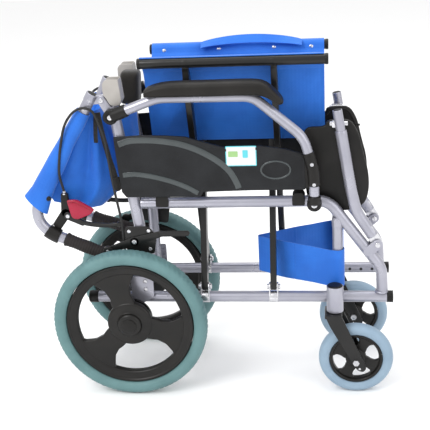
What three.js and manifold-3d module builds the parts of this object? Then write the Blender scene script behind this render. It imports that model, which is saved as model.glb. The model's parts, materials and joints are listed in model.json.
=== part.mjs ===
// Folding transport wheelchair, stored state: frame narrow, backrest folded down, footrests swung up.
// Millimetres, +Z up, the chair faces +X. Each side frame is built once in side coordinates
// (x forward, w outward from the middle plane, z up) and placed as a left and a mirrored right half.
import * as THREE from "three";
import { mergeVertices } from "three/addons/utils/BufferGeometryUtils.js";
import Module from "manifold-3d";

const wasm = await Module();
wasm.setup();

// Driving dimensions
const GAP = 0.3;
const ORIGIN_X = 165.2; // middle of the length, measured from the rear axle
const RAIL_W = 71; // side frame's distance from the middle plane, folded
const TUBE_R = 11;
const REAR = { r: 155, rimR: 128, axleZ: 155, w: 116, halfWidth: 20 };
const CASTER = { x: 445, swivelX: 405, w: 100, r: 73, rimR: 52, halfWidth: 14 };
const LOWER_Z = 191.6;
const UPPER_Z = 391.5;
const BRACE = { rearX: 141.4, frontX: 291.4, offset: 6.5, thick: 12, wide: 28, pivotZ: 213, seatZ: 664.5 };
const SEAT = { x0: 47, x1: 396, r: 10, sheetEnd: 344 };
const BACK_PIVOT = [-26, 600];
const LEFT_BACK_LEAN = 4.5; // degrees: the left cane hangs this much nearer to upright
const ARM_PIVOT = [-7, 572];
const ARM_W = 100;
const HANGER_PIVOT = [487, 305];
const FLIP = { w: 51, z: 541 }; // footplate hinge line
const PIN_R = 4;
const BORE_R = 4.4;

// Finishes
const finish = (hex, roughness, metalness) => new THREE.MeshStandardMaterial({ color: hex, roughness, metalness });
const SILVER = finish(0xbdbdc9, 0.4, 0.6);
const ZINC = finish(0xd0d0d4, 0.3, 0.9);
const BLACK_PLASTIC = finish(0x1f1d1b, 0.55, 0);
const GREY_PLASTIC = finish(0xb8b4b0, 0.5, 0);
const BLACK_STEEL = finish(0x1b1918, 0.4, 0.3);
const REAR_RUBBER = finish(0x6a9090, 0.75, 0);
const CASTER_RUBBER = finish(0x97a9bd, 0.65, 0);
const BLUE_FABRIC = finish(0x2f7fe6, 0.85, 0);
const RED_PLASTIC = finish(0xb81440, 0.4, 0);
const PANEL_PLASTIC = finish(0x27282b, 0.6, 0);

// Solids: three.js geometry in, manifold solid out, and back again
function solid(geometry) {
  const bare = (geometry.index ? geometry.toNonIndexed() : geometry).clone();
  for (const name of Object.keys(bare.attributes)) if (name !== "position") bare.deleteAttribute(name);
  const merged = mergeVertices(bare, 1e-3);
  return new wasm.Manifold(
    new wasm.Mesh({
      numProp: 3,
      vertProperties: merged.attributes.position.array,
      triVerts: new Uint32Array(merged.index.array),
    }),
  );
}

function geometryOf(made) {
  const mesh = made.getMesh();
  const geometry = new THREE.BufferGeometry();
  geometry.setAttribute("position", new THREE.BufferAttribute(new Float32Array(mesh.vertProperties), 3));
  geometry.setIndex(new THREE.BufferAttribute(new Uint32Array(mesh.triVerts), 1));
  return geometry;
}

const join = (...pieces) => pieces.reduce((sum, piece) => sum.add(piece));
const cut = (body, ...tools) => tools.reduce((rest, tool) => rest.subtract(tool), body);

// A box between two corners
function block([x0, w0, z0], [x1, w1, z1]) {
  const box = new THREE.BoxGeometry(x1 - x0, w1 - w0, z1 - z0);
  return solid(box.translate((x0 + x1) / 2, (w0 + w1) / 2, (z0 + z1) / 2));
}

// A round bar across the chair from w0 to w1
function crossBar(x, z, r, w0, w1, sides = 16) {
  const bar = new THREE.CylinderGeometry(r, r, w1 - w0, sides);
  return solid(bar.translate(x, (w0 + w1) / 2, z));
}

// A round bar between two points
function rod(from, to, r, sides = 12) {
  const a = new THREE.Vector3(...from);
  const b = new THREE.Vector3(...to);
  const along = b.clone().sub(a);
  const bar = new THREE.CylinderGeometry(r, r, along.length(), sides);
  const turn = new THREE.Quaternion().setFromUnitVectors(new THREE.Vector3(0, 1, 0), along.normalize());
  bar.applyQuaternion(turn).translate(...a.add(b).multiplyScalar(0.5).toArray());
  return solid(bar);
}

// A flat plate: an outline in x and z, extruded across from w0 to w1
function plate(outline, w0, w1, holes = []) {
  const shape = new THREE.Shape(outline.map(([x, z]) => new THREE.Vector2(x, z)));
  for (const hole of holes) shape.holes.push(new THREE.Path(hole.map(([x, z]) => new THREE.Vector2(x, z))));
  const body = new THREE.ExtrudeGeometry(shape, { depth: w1 - w0, bevelEnabled: false });
  return solid(body.rotateX(Math.PI / 2).translate(0, w1, 0));
}

// Points of a regular polygon round x, z
function ring(x, z, r, sides = 16) {
  const points = [];
  for (let i = 0; i < sides; i++) {
    const t = (2 * Math.PI * i) / sides;
    points.push([x + r * Math.cos(t), z + r * Math.sin(t)]);
  }
  return points;
}

// A flat bar with round ends between two points in x and z
function link([x0, z0], [x1, z1], r0, r1, w0, w1, steps = 6) {
  const heading = Math.atan2(z1 - z0, x1 - x0);
  const outline = [];
  for (let i = 0; i <= steps; i++) {
    const t = heading + Math.PI / 2 + (Math.PI * i) / steps;
    outline.push([x0 + r0 * Math.cos(t), z0 + r0 * Math.sin(t)]);
  }
  for (let i = 0; i <= steps; i++) {
    const t = heading - Math.PI / 2 + (Math.PI * i) / steps;
    outline.push([x1 + r1 * Math.cos(t), z1 + r1 * Math.sin(t)]);
  }
  return plate(outline, w0, w1);
}

// A path through corner points, each corner rounded by its bend length
function bentPath(corners, bends) {
  const points = corners.map((p) => new THREE.Vector3(...p));
  const path = new THREE.CurvePath();
  let from = points[0];
  for (let i = 1; i < points.length - 1; i++) {
    const before = points[i].clone().add(points[i - 1].clone().sub(points[i]).setLength(bends[i - 1]));
    const after = points[i].clone().add(points[i + 1].clone().sub(points[i]).setLength(bends[i - 1]));
    path.add(new THREE.LineCurve3(from, before));
    path.add(new THREE.QuadraticBezierCurve3(before, points[i], after));
    from = after;
  }
  path.add(new THREE.LineCurve3(from, points[points.length - 1]));
  return path;
}

// A round bar carried along a path
function tube(path, r, steps, sides = 10) {
  const section = new THREE.Shape(ring(0, 0, r, sides).map(([x, y]) => new THREE.Vector2(x, y)));
  return solid(new THREE.ExtrudeGeometry(section, { steps, extrudePath: path, bevelEnabled: false }));
}

// Side-plane corners lifted to a constant w
const inPlane = (corners, w) => corners.map(([x, z]) => [x, w, z]);

// A tyre or rim: a profile of [radius, w] turned round a cross axis, with a flat facet at the bottom
function turned(profile, x, z, sides) {
  const circumscribed = 1 / Math.cos(Math.PI / sides);
  const points = profile.map(([r, w]) => new THREE.Vector2(r * circumscribed, w));
  points.push(points[0].clone());
  const body = new THREE.LatheGeometry(points, sides);
  return solid(body.rotateY(Math.PI / sides).translate(x, 0, z));
}

const SIDES = ["right", "left"];

// Frame tubes of one side
const upperCorners = [[32, UPPER_Z], [394.5, 392.5], [495, 253], [497, LOWER_Z + TUBE_R + 1]];
const upperPath = () => bentPath(inPlane(upperCorners, RAIL_W), [22, 14]);

function frontPost() {
  const post = rod([411, RAIL_W, LOWER_Z], [411, RAIL_W, 372], 10, 12);
  const notched = cut(post, tube(upperPath(), TUBE_R + GAP, 22, 10));
  return notched.decompose().sort((a, b) => b.volume() - a.volume())[0];
}

function lowerRail(side) {
  const offset = side === "right" ? BRACE.offset : -BRACE.offset;
  const stations = [BRACE.rearX + offset, BRACE.frontX - offset];
  const cheeks = stations.flatMap((x) =>
    [-1, 1].map((s) => {
      const middle = x + s * (BRACE.thick / 2 + 1.9);
      return block([middle - 1.5, RAIL_W - 9, LOWER_Z], [middle + 1.5, RAIL_W + 9, BRACE.pivotZ + 9]);
    }),
  );
  const pins = stations.map((x) => rod([x - 9, RAIL_W, BRACE.pivotZ], [x + 9, RAIL_W, BRACE.pivotZ], PIN_R, 10));
  return join(
    rod([-74, RAIL_W, LOWER_Z], [508, RAIL_W, LOWER_Z], TUBE_R, 14),
    rod([-90, RAIL_W, LOWER_Z], [-70, RAIL_W, LOWER_Z], TUBE_R + 1.5, 14),
    rod([505, RAIL_W, LOWER_Z], [518.6, RAIL_W, LOWER_Z], TUBE_R + 1, 14),
    rod([CASTER.swivelX, CASTER.w, 174.5], [CASTER.swivelX, CASTER.w, 230.5], 16.5, 16),
    block([398, RAIL_W, 182], [412, CASTER.w - 5, 201]),
    frontPost(),
    ...cheeks,
    ...pins,
  );
}

function upperRail() {
  const [px, pz] = HANGER_PIVOT;
  const lugs = [[59.6, 64.6], [77.4, 82.4]].map(([w0, w1]) => link([468, 290], [px, pz], 11, 10, w0, w1));
  return join(tube(upperPath(), TUBE_R, 22, 10), ...lugs, crossBar(px, pz, PIN_R, 62, 80, 10));
}

function rearUpright() {
  const [px, pz] = BACK_PIVOT;
  const corners = [[25.5, LOWER_Z + TUBE_R + GAP], [25.5, 345], [-7.5, 586]];
  const cheeks = [[60.2, 65], [77, 81.8]].map(([w0, w1]) => link([px, pz], [-12, 576], 8, 9, w0, w1));
  const plateOutline = [[-12, 142], [10, 142], [20, 182], [46, 196], [46, 242], [1, 242], [1, 186], [-12, 168]];
  const axlePlate = plate(plateOutline, 82.4, 86);
  return join(
    tube(bentPath(inPlane(corners, RAIL_W), [16]), TUBE_R, 10, 10),
    block([16, 78, 204], [35, 84, 240]),
    axlePlate,
    ...cheeks,
    crossBar(px, pz, PIN_R, 62, 80, 10),
  );
}

// Cup that the raised cane drops into: open at the top and the back, with a slot for the cane's lug
function caneLock() {
  const outline = [[-8, 590.4], [9, 590.4], [14, 600], [10, 640], [-15, 640], [-21, 632], [-21, 612], [-16, 606]];
  return cut(plate(outline, 56, 86), block([-40, 59, 599], [8, 83, 660]), block([-40, 65, 585], [5, 77, 600]));
}

// Rear wheel: fixed drum and axle, tyre, three-spoke rim
function brakeDrum() {
  return join(crossBar(0, REAR.axleZ, 40, 86.3, 95, 24), crossBar(0, REAR.axleZ, 6, 90, 138, 12));
}

function tyre() {
  const { r, rimR, halfWidth: h, w } = REAR;
  const half = [[r, 7], [r - 3, h - 6], [r - 11, h], [rimR + 6, h - 3], [rimR + GAP, 12]];
  const profile = [...half.map(([q, a]) => [q, -a]).reverse(), ...half];
  return turned(profile.map(([q, a]) => [q, w + a]), 0, REAR.axleZ, 28);
}

// Outline of one leaf-shaped window between two spokes
function leafWindow(x, z, inner, outer, halfAngle, turn, lean, steps = 5) {
  const at = (r, t) => [x + r * Math.cos(t), z + r * Math.sin(t)];
  const points = [];
  for (let i = 0; i <= steps; i++) points.push(at(outer, turn + halfAngle * (1 - (2 * i) / steps)));
  for (let i = 0; i <= steps; i++) points.push(at(inner, turn + lean + halfAngle * 0.45 * ((2 * i) / steps - 1)));
  return points;
}

function rim() {
  const { rimR, axleZ, w } = REAR;
  const windows = [0, 1, 2].map((i) => {
    const middle = Math.PI / 4 + (i * 2 * Math.PI) / 3;
    return leafWindow(0, axleZ, 46, 112, 0.74, middle, 0.1).reverse();
  });
  const disc = plate(ring(0, axleZ, rimR - 0.6, 28), w - 10, w + 10, windows);
  return cut(join(disc, crossBar(0, axleZ, 24, w - 20, w + 18, 20)), crossBar(0, axleZ, 6.5, 80, 142, 12));
}

// Caster: fork with its axle, tyre, rim
function fork() {
  const { x, swivelX, w, r } = CASTER;
  const legs = [-1, 1].map((s) => {
    const front = [[swivelX - 20, 172], [swivelX + 12, 172], [x + 13, r + 6], [x + 21, r - 14]];
    const back = [[x + 14, r - 22], [x + 2, r - 18], [x - 10, r + 4], [swivelX - 8, 146]];
    const outline = [...front, ...back];
    return plate(outline, w + s * 22.5 - 2, w + s * 22.5 + 2);
  });
  const crown = block([swivelX - 20, w - 24.5, 166], [swivelX + 14, w + 24.5, 174]);
  return join(crown, ...legs, crossBar(x, r, 5, w - 29, w + 29, 10));
}

function casterTyre() {
  const { x, r, rimR, halfWidth: h, w } = CASTER;
  const half = [[r, 3], [r - 2, h - 6], [r - 8, h], [rimR + GAP, 10]];
  const profile = [...half.map(([q, a]) => [q, -a]).reverse(), ...half];
  return turned(profile.map(([q, a]) => [q, w + a]), x, r, 20);
}

function casterRim() {
  const { x, r, rimR, w } = CASTER;
  const windows = [0, 1, 2, 3].map((i) => leafWindow(x, r, 20, 45, 0.55, 0.3 + (i * Math.PI) / 2, 0.1, 4).reverse());
  const disc = plate(ring(x, r, rimR - 0.4, 28), w - 8, w + 8, windows);
  return cut(join(disc, crossBar(x, r, 13, w - 17, w + 17, 16)), crossBar(x, r, 5.5, w - 40, w + 40, 10));
}

// Backrest cane with its brake gear
const CANE_BEND = 74;
const CANE_TOP = [-43.7, 611];
const CANE_CORNER = [-202.8, 349.7];
const GRIP_START = [-127, 317.8];
const GRIP_END = [-46, 283.7];

const canePath = () => bentPath(inPlane([CANE_TOP, CANE_CORNER, GRIP_START], RAIL_W), [CANE_BEND]);

function cane() {
  const lug = link(BACK_PIVOT, [-43.7, 611], 8, 9, 66, 76);
  return cut(join(tube(canePath(), TUBE_R, 14, 10), lug), crossBar(...BACK_PIVOT, BORE_R, 60, 82, 10));
}

function grip() {
  const start = [GRIP_START[0] + 0.4, RAIL_W, GRIP_START[1] - 0.2];
  return rod(start, [GRIP_END[0], RAIL_W, GRIP_END[1]], 14, 14);
}

function brakeBracket() {
  const clamp = rod([-158.5, RAIL_W, 335], [-137, RAIL_W, 321.3], 15.5, 14);
  const arm = join(
    link([-145, 340], [-121, 372], 9, 10, 61.5, 70.2),
    link([-121, 372], [-121, 408], 10, 7, 61.5, 70.2),
  );
  return cut(join(clamp, arm), tube(canePath(), TUBE_R + GAP, 14, 10));
}

function brakeLever() {
  return join(
    link([-116, 368], [-88, 352.5], 8, 5, 70.6, 77),
    rod([-90, 74, 353], [-50, 74, 348], 4.2, 8),
    rod([-51, 74, 348], [-13, 74, 348.5], 4.2, 8),
  );
}

function parkingLock() {
  return plate([[-114, 402], [-94, 401], [-64, 382], [-70, 373], [-96, 362], [-106, 366]], 77.4, 82.4);
}

// Back upholstery hanging on the cane, and the lower back between the uprights
function upperBack() {
  return plate([[-66, 586], [-170, 408], [-140, 392], [-82, 384], [-36, 432], [-40, 500], [-52, 560]], 1, 54);
}

const lowerBack = () => plate([[2, 430], [12, 428], [22, 500], [6, 572], [-6, 572], [4, 500]], 1, 57);

// Armrest
const ARM_CORNERS = [[8, 579], [84, 606.5], [259, 605.5], [350, 527], [368.5, 460], [368.5, 412.5]];
const ARM_BENDS = [14, 18, 20, 18];
const ARM_TUBE_R = 9.5;
const armPath = () => bentPath(inPlane(ARM_CORNERS, ARM_W), ARM_BENDS);

function armTube() {
  return join(
    tube(armPath(), ARM_TUBE_R, 18, 10),
    crossBar(...ARM_PIVOT, 14, 84.5, 104, 16),
    link(ARM_PIVOT, [16, 581], 11, 10, 88, 104),
  );
}

function armPad() {
  const under = [[62, 611], [270, 610], [292, 604], [311, 586]];
  const over = [[319, 600], [282, 634], [258, 638], [104, 638], [63, 625]];
  return cut(plate([...under, ...over], 83, 124), tube(armPath(), ARM_TUBE_R + GAP, 18, 10));
}

function sidePanel() {
  const bottom = [[-7, 520], [0, 419], [8, 409], [152, 409], [158, 419], [250, 421], [352, 421], [357.5, 427]];
  const front = [[357.5, 487], [342, 494], [315, 502], [269, 509], [232, 506]];
  const top = [[203, 506], [157, 520], [129, 529], [91, 532], [44, 533], [-8, 531]];
  return plate([...bottom, ...front, ...top], 84.5, 90);
}

function armSocket() {
  return join(crossBar(368, 395, 14, 82.6, 104, 16), rod([368.5, ARM_W, 396], [368.5, ARM_W, 412], 12, 12));
}

// Footrest
function hanger() {
  const [px, pz] = HANGER_PIVOT;
  const corners = [[478, 320], [446, 371], [436, 420], [412, 569]];
  const lug = link(HANGER_PIVOT, [473, 328], 10, 10, 65.2, 76.8);
  const body = join(
    tube(bentPath(inPlane(corners, RAIL_W), [16, 14]), TUBE_R, 14, 10),
    lug,
    crossBar(px, pz, 10, 65.2, 76.8, 12),
    block([402, FLIP.w + 10.5, FLIP.z - 6], [424, RAIL_W, FLIP.z + 6]),
    rod([397.5, FLIP.w + 13, FLIP.z], [432, FLIP.w + 13, FLIP.z], 4.5, 10),
  );
  return cut(body, crossBar(px, pz, BORE_R, 60, 82, 10));
}

function footplate() {
  const top = [[350, 533], [390, 533], [390, 545], [437, 547], [452, 520], [459, 482], [470, 445], [472, 412]];
  const bottom = [[466, 383], [450, 370], [421, 364], [366, 378], [354, 390], [347, 450]];
  return plate([...top, ...bottom], FLIP.w - 5, FLIP.w + 5);
}

// Wheel lock: fixed plate on the upright, and the lever that presses the shoe on the tyre
const lockPlate = () => plate([[-2, 348], [46, 348], [60, 328], [54, 290], [-2, 298]], 83, 86.6);

function lockLever() {
  return join(
    link([16, 318], [-38, 300], 10, 6, 87, 90.5),
    link([16, 318], [70, 334], 9, 6, 87, 90.5),
    link([70, 334], [122, 335], 5, 5, 87, 93),
    crossBar(-38, 300, 10, 87, 95, 14),
  );
}

// The brake cable: out of the bracket, a loop past the hinge, down behind the upright to the drum
function brakeCable(lean) {
  const rise = [[-121, 416, 66], [-122, 434, 73], [-121, 455, 85], [-119, 475, 87], [-113, 510, 87], [-101, 552, 87]];
  const over = [[-84, 577, 87], [-66, 587, 87], [-50, 585, 87], [-40, 574, 86], [-31, 548, 86], [-25, 520, 84]];
  const down = [[-21, 470, 83], [-15, 415, 83], [-8, 360, 82.5], [-6, 300, 81]];
  const entry = [[-8, 250, 80], [-8, 215, 85], [-4, 199, 91]];
  const route = [...rise, ...over, ...down, ...entry];
  const pivot = new THREE.Vector2(...BACK_PIVOT);
  const carried = rise.length; // points that ride on the leaning cane
  const points = route.map(([x, z, w], i) => {
    const at = new THREE.Vector2(x, z);
    if (i < carried) at.rotateAround(pivot, THREE.MathUtils.degToRad(lean));
    return new THREE.Vector3(at.x, w, at.y);
  });
  const section = new THREE.Shape(ring(0, 0, 2.5, 8).map(([x, y]) => new THREE.Vector2(x, y)));
  const extrudePath = new THREE.CatmullRomCurve3(points);
  return solid(new THREE.ExtrudeGeometry(section, { steps: 34, extrudePath, bevelEnabled: false }));
}

// Calf strap: a half from each post, up to the brace's front bars, and the fold in the middle behind them
const CALF_STRAP = { z: 218, height: 80 };

function upright(outline) {
  const shape = new THREE.Shape(outline.map(([x, w]) => new THREE.Vector2(x, w)));
  const body = new THREE.ExtrudeGeometry(shape, { depth: CALF_STRAP.height, bevelEnabled: false });
  return solid(body.translate(0, 0, CALF_STRAP.z));
}

const calfStrap = () => upright([[396, 58], [402, 60], [402, 57], [306, 21], [306, 24.5]]);
const calfStrapMiddle = () => upright([[252, -4], [262, -5], [262, 5], [252, 4]]);

// Scissor brace: two flat bars welded to a seat rail. s is -1 for brace_a, which carries the right seat rail
// and turns on the left lower rail, and 1 for brace_b, which carries the left one and turns on the right.
const standAcross = () => {
  const axes = [[0, 1, 0], [0, 0, 1], [1, 0, 0]].map((axis) => new THREE.Vector3(...axis));
  return new THREE.Matrix4().makeBasis(...axes);
};

function brace(s) {
  const { rearX, frontX, offset, thick, wide, pivotZ, seatZ } = BRACE;
  const stations = [rearX + s * offset, frontX - s * offset];
  const low = new THREE.Vector2(-s * RAIL_W, pivotZ);
  const high = new THREE.Vector2(s * RAIL_W, seatZ);
  const heading = high.clone().sub(low);
  const length = heading.length();
  const turn = heading.angle() - Math.PI / 2;
  const bars = stations.map((x) => {
    const half = wide / 2;
    const rightEdge = [[5, -7.5], [8, -2], [half, 30], [half, length - 36], [7, length - 14], [7, length - 4]];
    const leftEdge = rightEdge.map(([p, q]) => [-p, q]).reverse();
    const outline = [...rightEdge, ...leftEdge];
    const shape = new THREE.Shape(outline.map(([p, q]) => new THREE.Vector2(p, q)));
    const hole = (q, r) => new THREE.Path(ring(0, q, r, 10).reverse().map(([p, k]) => new THREE.Vector2(p, k)));
    shape.holes.push(hole(0, BORE_R), hole(length / 2, BORE_R));
    const bar = new THREE.ExtrudeGeometry(shape, { depth: thick, bevelEnabled: false });
    // outline's first axis to +Y, second to +Z, depth to +X, then lean the bar in its own plane
    bar.applyMatrix4(standAcross()).applyMatrix4(new THREE.Matrix4().makeRotationX(turn));
    return solid(bar.translate(x - thick / 2, low.x, low.y));
  });
  return join(rod([SEAT.x0, s * RAIL_W, seatZ], [SEAT.x1, s * RAIL_W, seatZ], SEAT.r, 14), ...bars);
}

// Long pivot pin through the crossing of both pairs of bars, with a head at each end
function scissorAxle() {
  const { rearX, frontX, offset, thick, pivotZ, seatZ } = BRACE;
  const z = (pivotZ + seatZ) / 2;
  const reach = offset + thick / 2 + GAP;
  const head = 4;
  const ends = [rearX - reach - head, frontX + reach + head];
  return join(
    rod([ends[0], 0, z], [ends[1], 0, z], PIN_R, 10),
    rod([ends[0], 0, z], [ends[0] + head, 0, z], 2 * PIN_R, 12),
    rod([ends[1] - head, 0, z], [ends[1], 0, z], 2 * PIN_R, 12),
  );
}

// Half of the seat sling, hanging inside the folded brace from its seat rail towards the middle
function sling(s) {
  const outline = [[60.4, 675], [58.2, 662], [46.6, 642], [4.6, 507.5], [1, 507.5], [1, 514], [43, 649], [54, 673]];
  const shape = new THREE.Shape(outline.map(([w, z]) => new THREE.Vector2(s * w, z)));
  const start = SEAT.x0 + 4;
  const sheet = new THREE.ExtrudeGeometry(shape, { depth: SEAT.sheetEnd - start, bevelEnabled: false });
  return solid(sheet.applyMatrix4(standAcross()).translate(start, 0, 0));
}

// Assembly: every side piece once for each side, the right one mirrored
const leanAbout = (made, degrees) => {
  const [px, pz] = BACK_PIVOT;
  return made.translate([-px, 0, -pz]).rotate([0, -degrees, 0]).translate([px, 0, pz]);
};

const object = new THREE.Group();
const halves = { right: new THREE.Group(), left: new THREE.Group() };
halves.right.scale.y = -1;
object.add(halves.right, halves.left);

function place(parent, name, made, material) {
  const mesh = new THREE.Mesh(geometryOf(made), material);
  mesh.name = name;
  parent.add(mesh);
}

for (const side of SIDES) {
  const lean = side === "left" ? LEFT_BACK_LEAN : 0;
  const put = (name, made, material) => place(halves[side], side + "_" + name, made, material);
  put("lower_rail", lowerRail(side), SILVER);
  put("upper_rail", upperRail(), SILVER);
  put("rear_upright", rearUpright(), SILVER);
  put("cane_lock", caneLock(), GREY_PLASTIC);
  put("arm_socket", armSocket(), BLACK_PLASTIC);
  put("wheel_lock_plate", lockPlate(), BLACK_STEEL);
  put("wheel_lock_lever", lockLever(), BLACK_STEEL);
  put("brake_drum", brakeDrum(), BLACK_STEEL);
  put("rear_tyre", tyre(), REAR_RUBBER);
  put("rear_rim", rim(), BLACK_PLASTIC);
  put("caster_fork", fork(), BLACK_STEEL);
  put("caster_tyre", casterTyre(), CASTER_RUBBER);
  put("caster_rim", casterRim(), BLACK_PLASTIC);
  put("back_cane", leanAbout(cane(), lean), SILVER);
  put("push_grip", leanAbout(grip(), lean), BLACK_PLASTIC);
  put("brake_bracket", leanAbout(brakeBracket(), lean), BLACK_PLASTIC);
  put("brake_lever", leanAbout(brakeLever(), lean), BLACK_STEEL);
  put("parking_lock", leanAbout(parkingLock(), lean), RED_PLASTIC);
  put("upper_back", leanAbout(upperBack(), lean), BLUE_FABRIC);
  put("lower_back", lowerBack(), BLUE_FABRIC);
  put("brake_cable", brakeCable(lean), BLACK_PLASTIC);
  put("arm_tube", armTube(), SILVER);
  put("arm_pad", armPad(), BLACK_PLASTIC);
  put("side_panel", sidePanel(), PANEL_PLASTIC);
  put("footrest_hanger", hanger(), SILVER);
  put("footplate", footplate(), BLACK_PLASTIC);
  put("calf_strap", calfStrap(), BLUE_FABRIC);
}
place(object, "brace_a", brace(-1), BLACK_STEEL);
place(object, "brace_b", brace(1), BLACK_STEEL);
place(object, "scissor_axle", scissorAxle(), ZINC);
place(object, "calf_strap_middle", calfStrapMiddle(), BLUE_FABRIC);
place(object, "seat_sling_right", sling(-1), BLUE_FABRIC);
place(object, "seat_sling_left", sling(1), BLUE_FABRIC);
object.position.x = -ORIGIN_X;

export default object;
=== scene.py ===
"""The finished look of a folding transport wheelchair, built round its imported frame.

Every piece is worked out in side coordinates: x forward from the rear axle, w outward from the middle
plane and z up, all in millimetres. Side.place turns them into the row frame in metres.
"""

import json
import logging
from dataclasses import dataclass
from enum import Enum
from math import cos, pi, radians, sin

import bmesh
import bpy
import numpy as np
from mathutils import Matrix


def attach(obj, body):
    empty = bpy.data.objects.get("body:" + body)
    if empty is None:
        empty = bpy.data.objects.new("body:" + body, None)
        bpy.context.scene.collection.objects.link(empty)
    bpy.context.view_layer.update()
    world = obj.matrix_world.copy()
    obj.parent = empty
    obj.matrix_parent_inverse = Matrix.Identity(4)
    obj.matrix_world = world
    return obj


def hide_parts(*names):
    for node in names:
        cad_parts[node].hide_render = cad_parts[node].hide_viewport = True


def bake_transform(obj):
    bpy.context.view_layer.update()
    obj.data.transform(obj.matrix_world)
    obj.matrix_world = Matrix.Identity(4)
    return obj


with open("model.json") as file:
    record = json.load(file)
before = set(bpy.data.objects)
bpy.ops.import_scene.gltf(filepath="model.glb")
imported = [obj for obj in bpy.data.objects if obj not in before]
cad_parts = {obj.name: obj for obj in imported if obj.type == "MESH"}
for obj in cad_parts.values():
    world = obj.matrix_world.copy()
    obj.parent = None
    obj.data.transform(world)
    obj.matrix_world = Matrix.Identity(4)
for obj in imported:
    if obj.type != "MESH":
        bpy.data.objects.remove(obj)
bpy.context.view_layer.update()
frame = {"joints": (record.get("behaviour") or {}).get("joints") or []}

LOG = logging.getLogger("wheelchair")
MM = 0.001
AXLE_X = next(j["pos_m"][0] for j in frame["joints"] if j["name"] == "right_rear_wheel_spin")
ORIGIN_X = -AXLE_X / MM
RAIL_W = 71.0
TUBE_R = 11.0
LOWER_Z = 191.6
WHEEL_R = 155.0
BACK_PIVOT = np.array([-26.0, 600.0])
CANE_TOP = (-43.7, 611.0)
HANGER_PIVOT = (487.0, 305.0)
BRACE_STATIONS = (141.4, 291.4)
BRACE_OFFSET = 6.5
BRACE_FOOT_Z = 213.0
SEAT_RAIL_Z = 664.5
LEFT_LEAN = 4.5


class Side(Enum):
    """Which half of the chair a piece belongs to; the value is its sign along Y."""

    RIGHT = -1
    LEFT = 1

    @property
    def word(self) -> str:
        """The side's name as it stands in node and body names."""
        return self.name.lower()

    @property
    def lean(self) -> float:
        """How far this side's cane hangs forward of the right one, in degrees."""
        return LEFT_LEAN if self is Side.LEFT else 0.0

    def place(self, points: np.ndarray) -> np.ndarray:
        """Row-frame metres of points in side coordinates: (x - origin, side times w, z) over a thousand.

        Args:
            points: points in side coordinates, in millimetres.

        Returns:
            The same points in the row frame, in metres.
        """
        moved = np.empty_like(points)
        moved[:, 0] = points[:, 0] - ORIGIN_X
        moved[:, 1] = points[:, 1] * self.value
        moved[:, 2] = points[:, 2]
        return moved * MM


class Pattern(Enum):
    """Fine structure that a finish carries on its surface."""

    SATIN = "satin"
    MOULDED = "moulded"
    WOVEN = "woven"


# ---------------------------------------------------------------- shapes


@dataclass
class Shape:
    """A surface in side coordinates: its points, the faces between them, and a pattern position for each
    point."""

    points: np.ndarray
    faces: list
    uv: np.ndarray

    def __add__(self, other: "Shape") -> "Shape":
        """Both surfaces as one, the second one's face numbers moved past the first one's points.

        Args:
            other: the surface to add.

        Returns:
            One surface with the points and faces of both.
        """
        count = len(self.points)
        shifted = [tuple(i + count for i in f) for f in other.faces]
        return Shape(np.vstack([self.points, other.points]), self.faces + shifted,
                     np.vstack([self.uv, other.uv]))

    def moved(self, x: float = 0.0, w: float = 0.0, z: float = 0.0) -> "Shape":
        """The same surface shifted in side coordinates."""
        return Shape(self.points + np.array([x, w, z]), self.faces, self.uv)

    def laid(self, origin: tuple, along: tuple, across: tuple, up: tuple) -> "Shape":
        """The surface with its x, w and z axes turned to three given directions, from an origin.

        Args:
            origin: where the old origin goes.
            along: direction of the old x axis.
            across: direction of the old w axis.
            up: direction of the old z axis.

        Returns:
            origin + x along + w across + z up, for every point.
        """
        turned = self.points @ np.array([along, across, up], float)
        return Shape(turned + np.array(origin, float), self.faces, self.uv)

    def leaned(self, degrees: float) -> "Shape":
        """The surface turned about the backrest pivot, so that what hangs below it moves forward.

        Args:
            degrees: how far it turns.

        Returns:
            The turned surface, with the same faces and pattern positions.
        """
        a = radians(degrees)
        d = self.points[:, [0, 2]] - BACK_PIVOT
        out = self.points.copy()
        out[:, 0] = BACK_PIVOT[0] + d[:, 0] * cos(a) - d[:, 1] * sin(a)
        out[:, 2] = BACK_PIVOT[1] + d[:, 0] * sin(a) + d[:, 1] * cos(a)
        return Shape(out, self.faces, self.uv)


def joined(shapes: list) -> Shape:
    """All the given surfaces as one.

    Args:
        shapes: the surfaces, at least one.

    Returns:
        One surface with the points and faces of all.
    """
    total = shapes[0]
    for shape in shapes[1:]:
        total = total + shape
    return total


def grid_faces(rows: int, columns: int, wrap_rows: bool = False, wrap_columns: bool = False) -> list:
    """Quads of a grid of points numbered row by row, wrapping round where asked.

    Args:
        rows: rows of points.
        columns: points in a row.
        wrap_rows: whether the last row joins the first.
        wrap_columns: whether each row joins its own start.

    Returns:
        Each quad's four point numbers.
    """
    r = np.arange(rows if wrap_rows else rows - 1)[:, None]
    c = np.arange(columns if wrap_columns else columns - 1)[None, :]
    r1, c1 = (r + 1) % rows, (c + 1) % columns
    corners = [r * columns + c, r * columns + c1, r1 * columns + c1, r1 * columns + c]
    return np.stack(np.broadcast_arrays(*corners), axis=-1).reshape(-1, 4).tolist()


def capped_faces(rings: int, sides: int) -> list:
    """Faces of a closed tube of rings, with one face over each end."""
    ends = [list(range(sides))[::-1], list(range((rings - 1) * sides, rings * sides))]
    return grid_faces(rings, sides, wrap_columns=True) + ends


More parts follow.
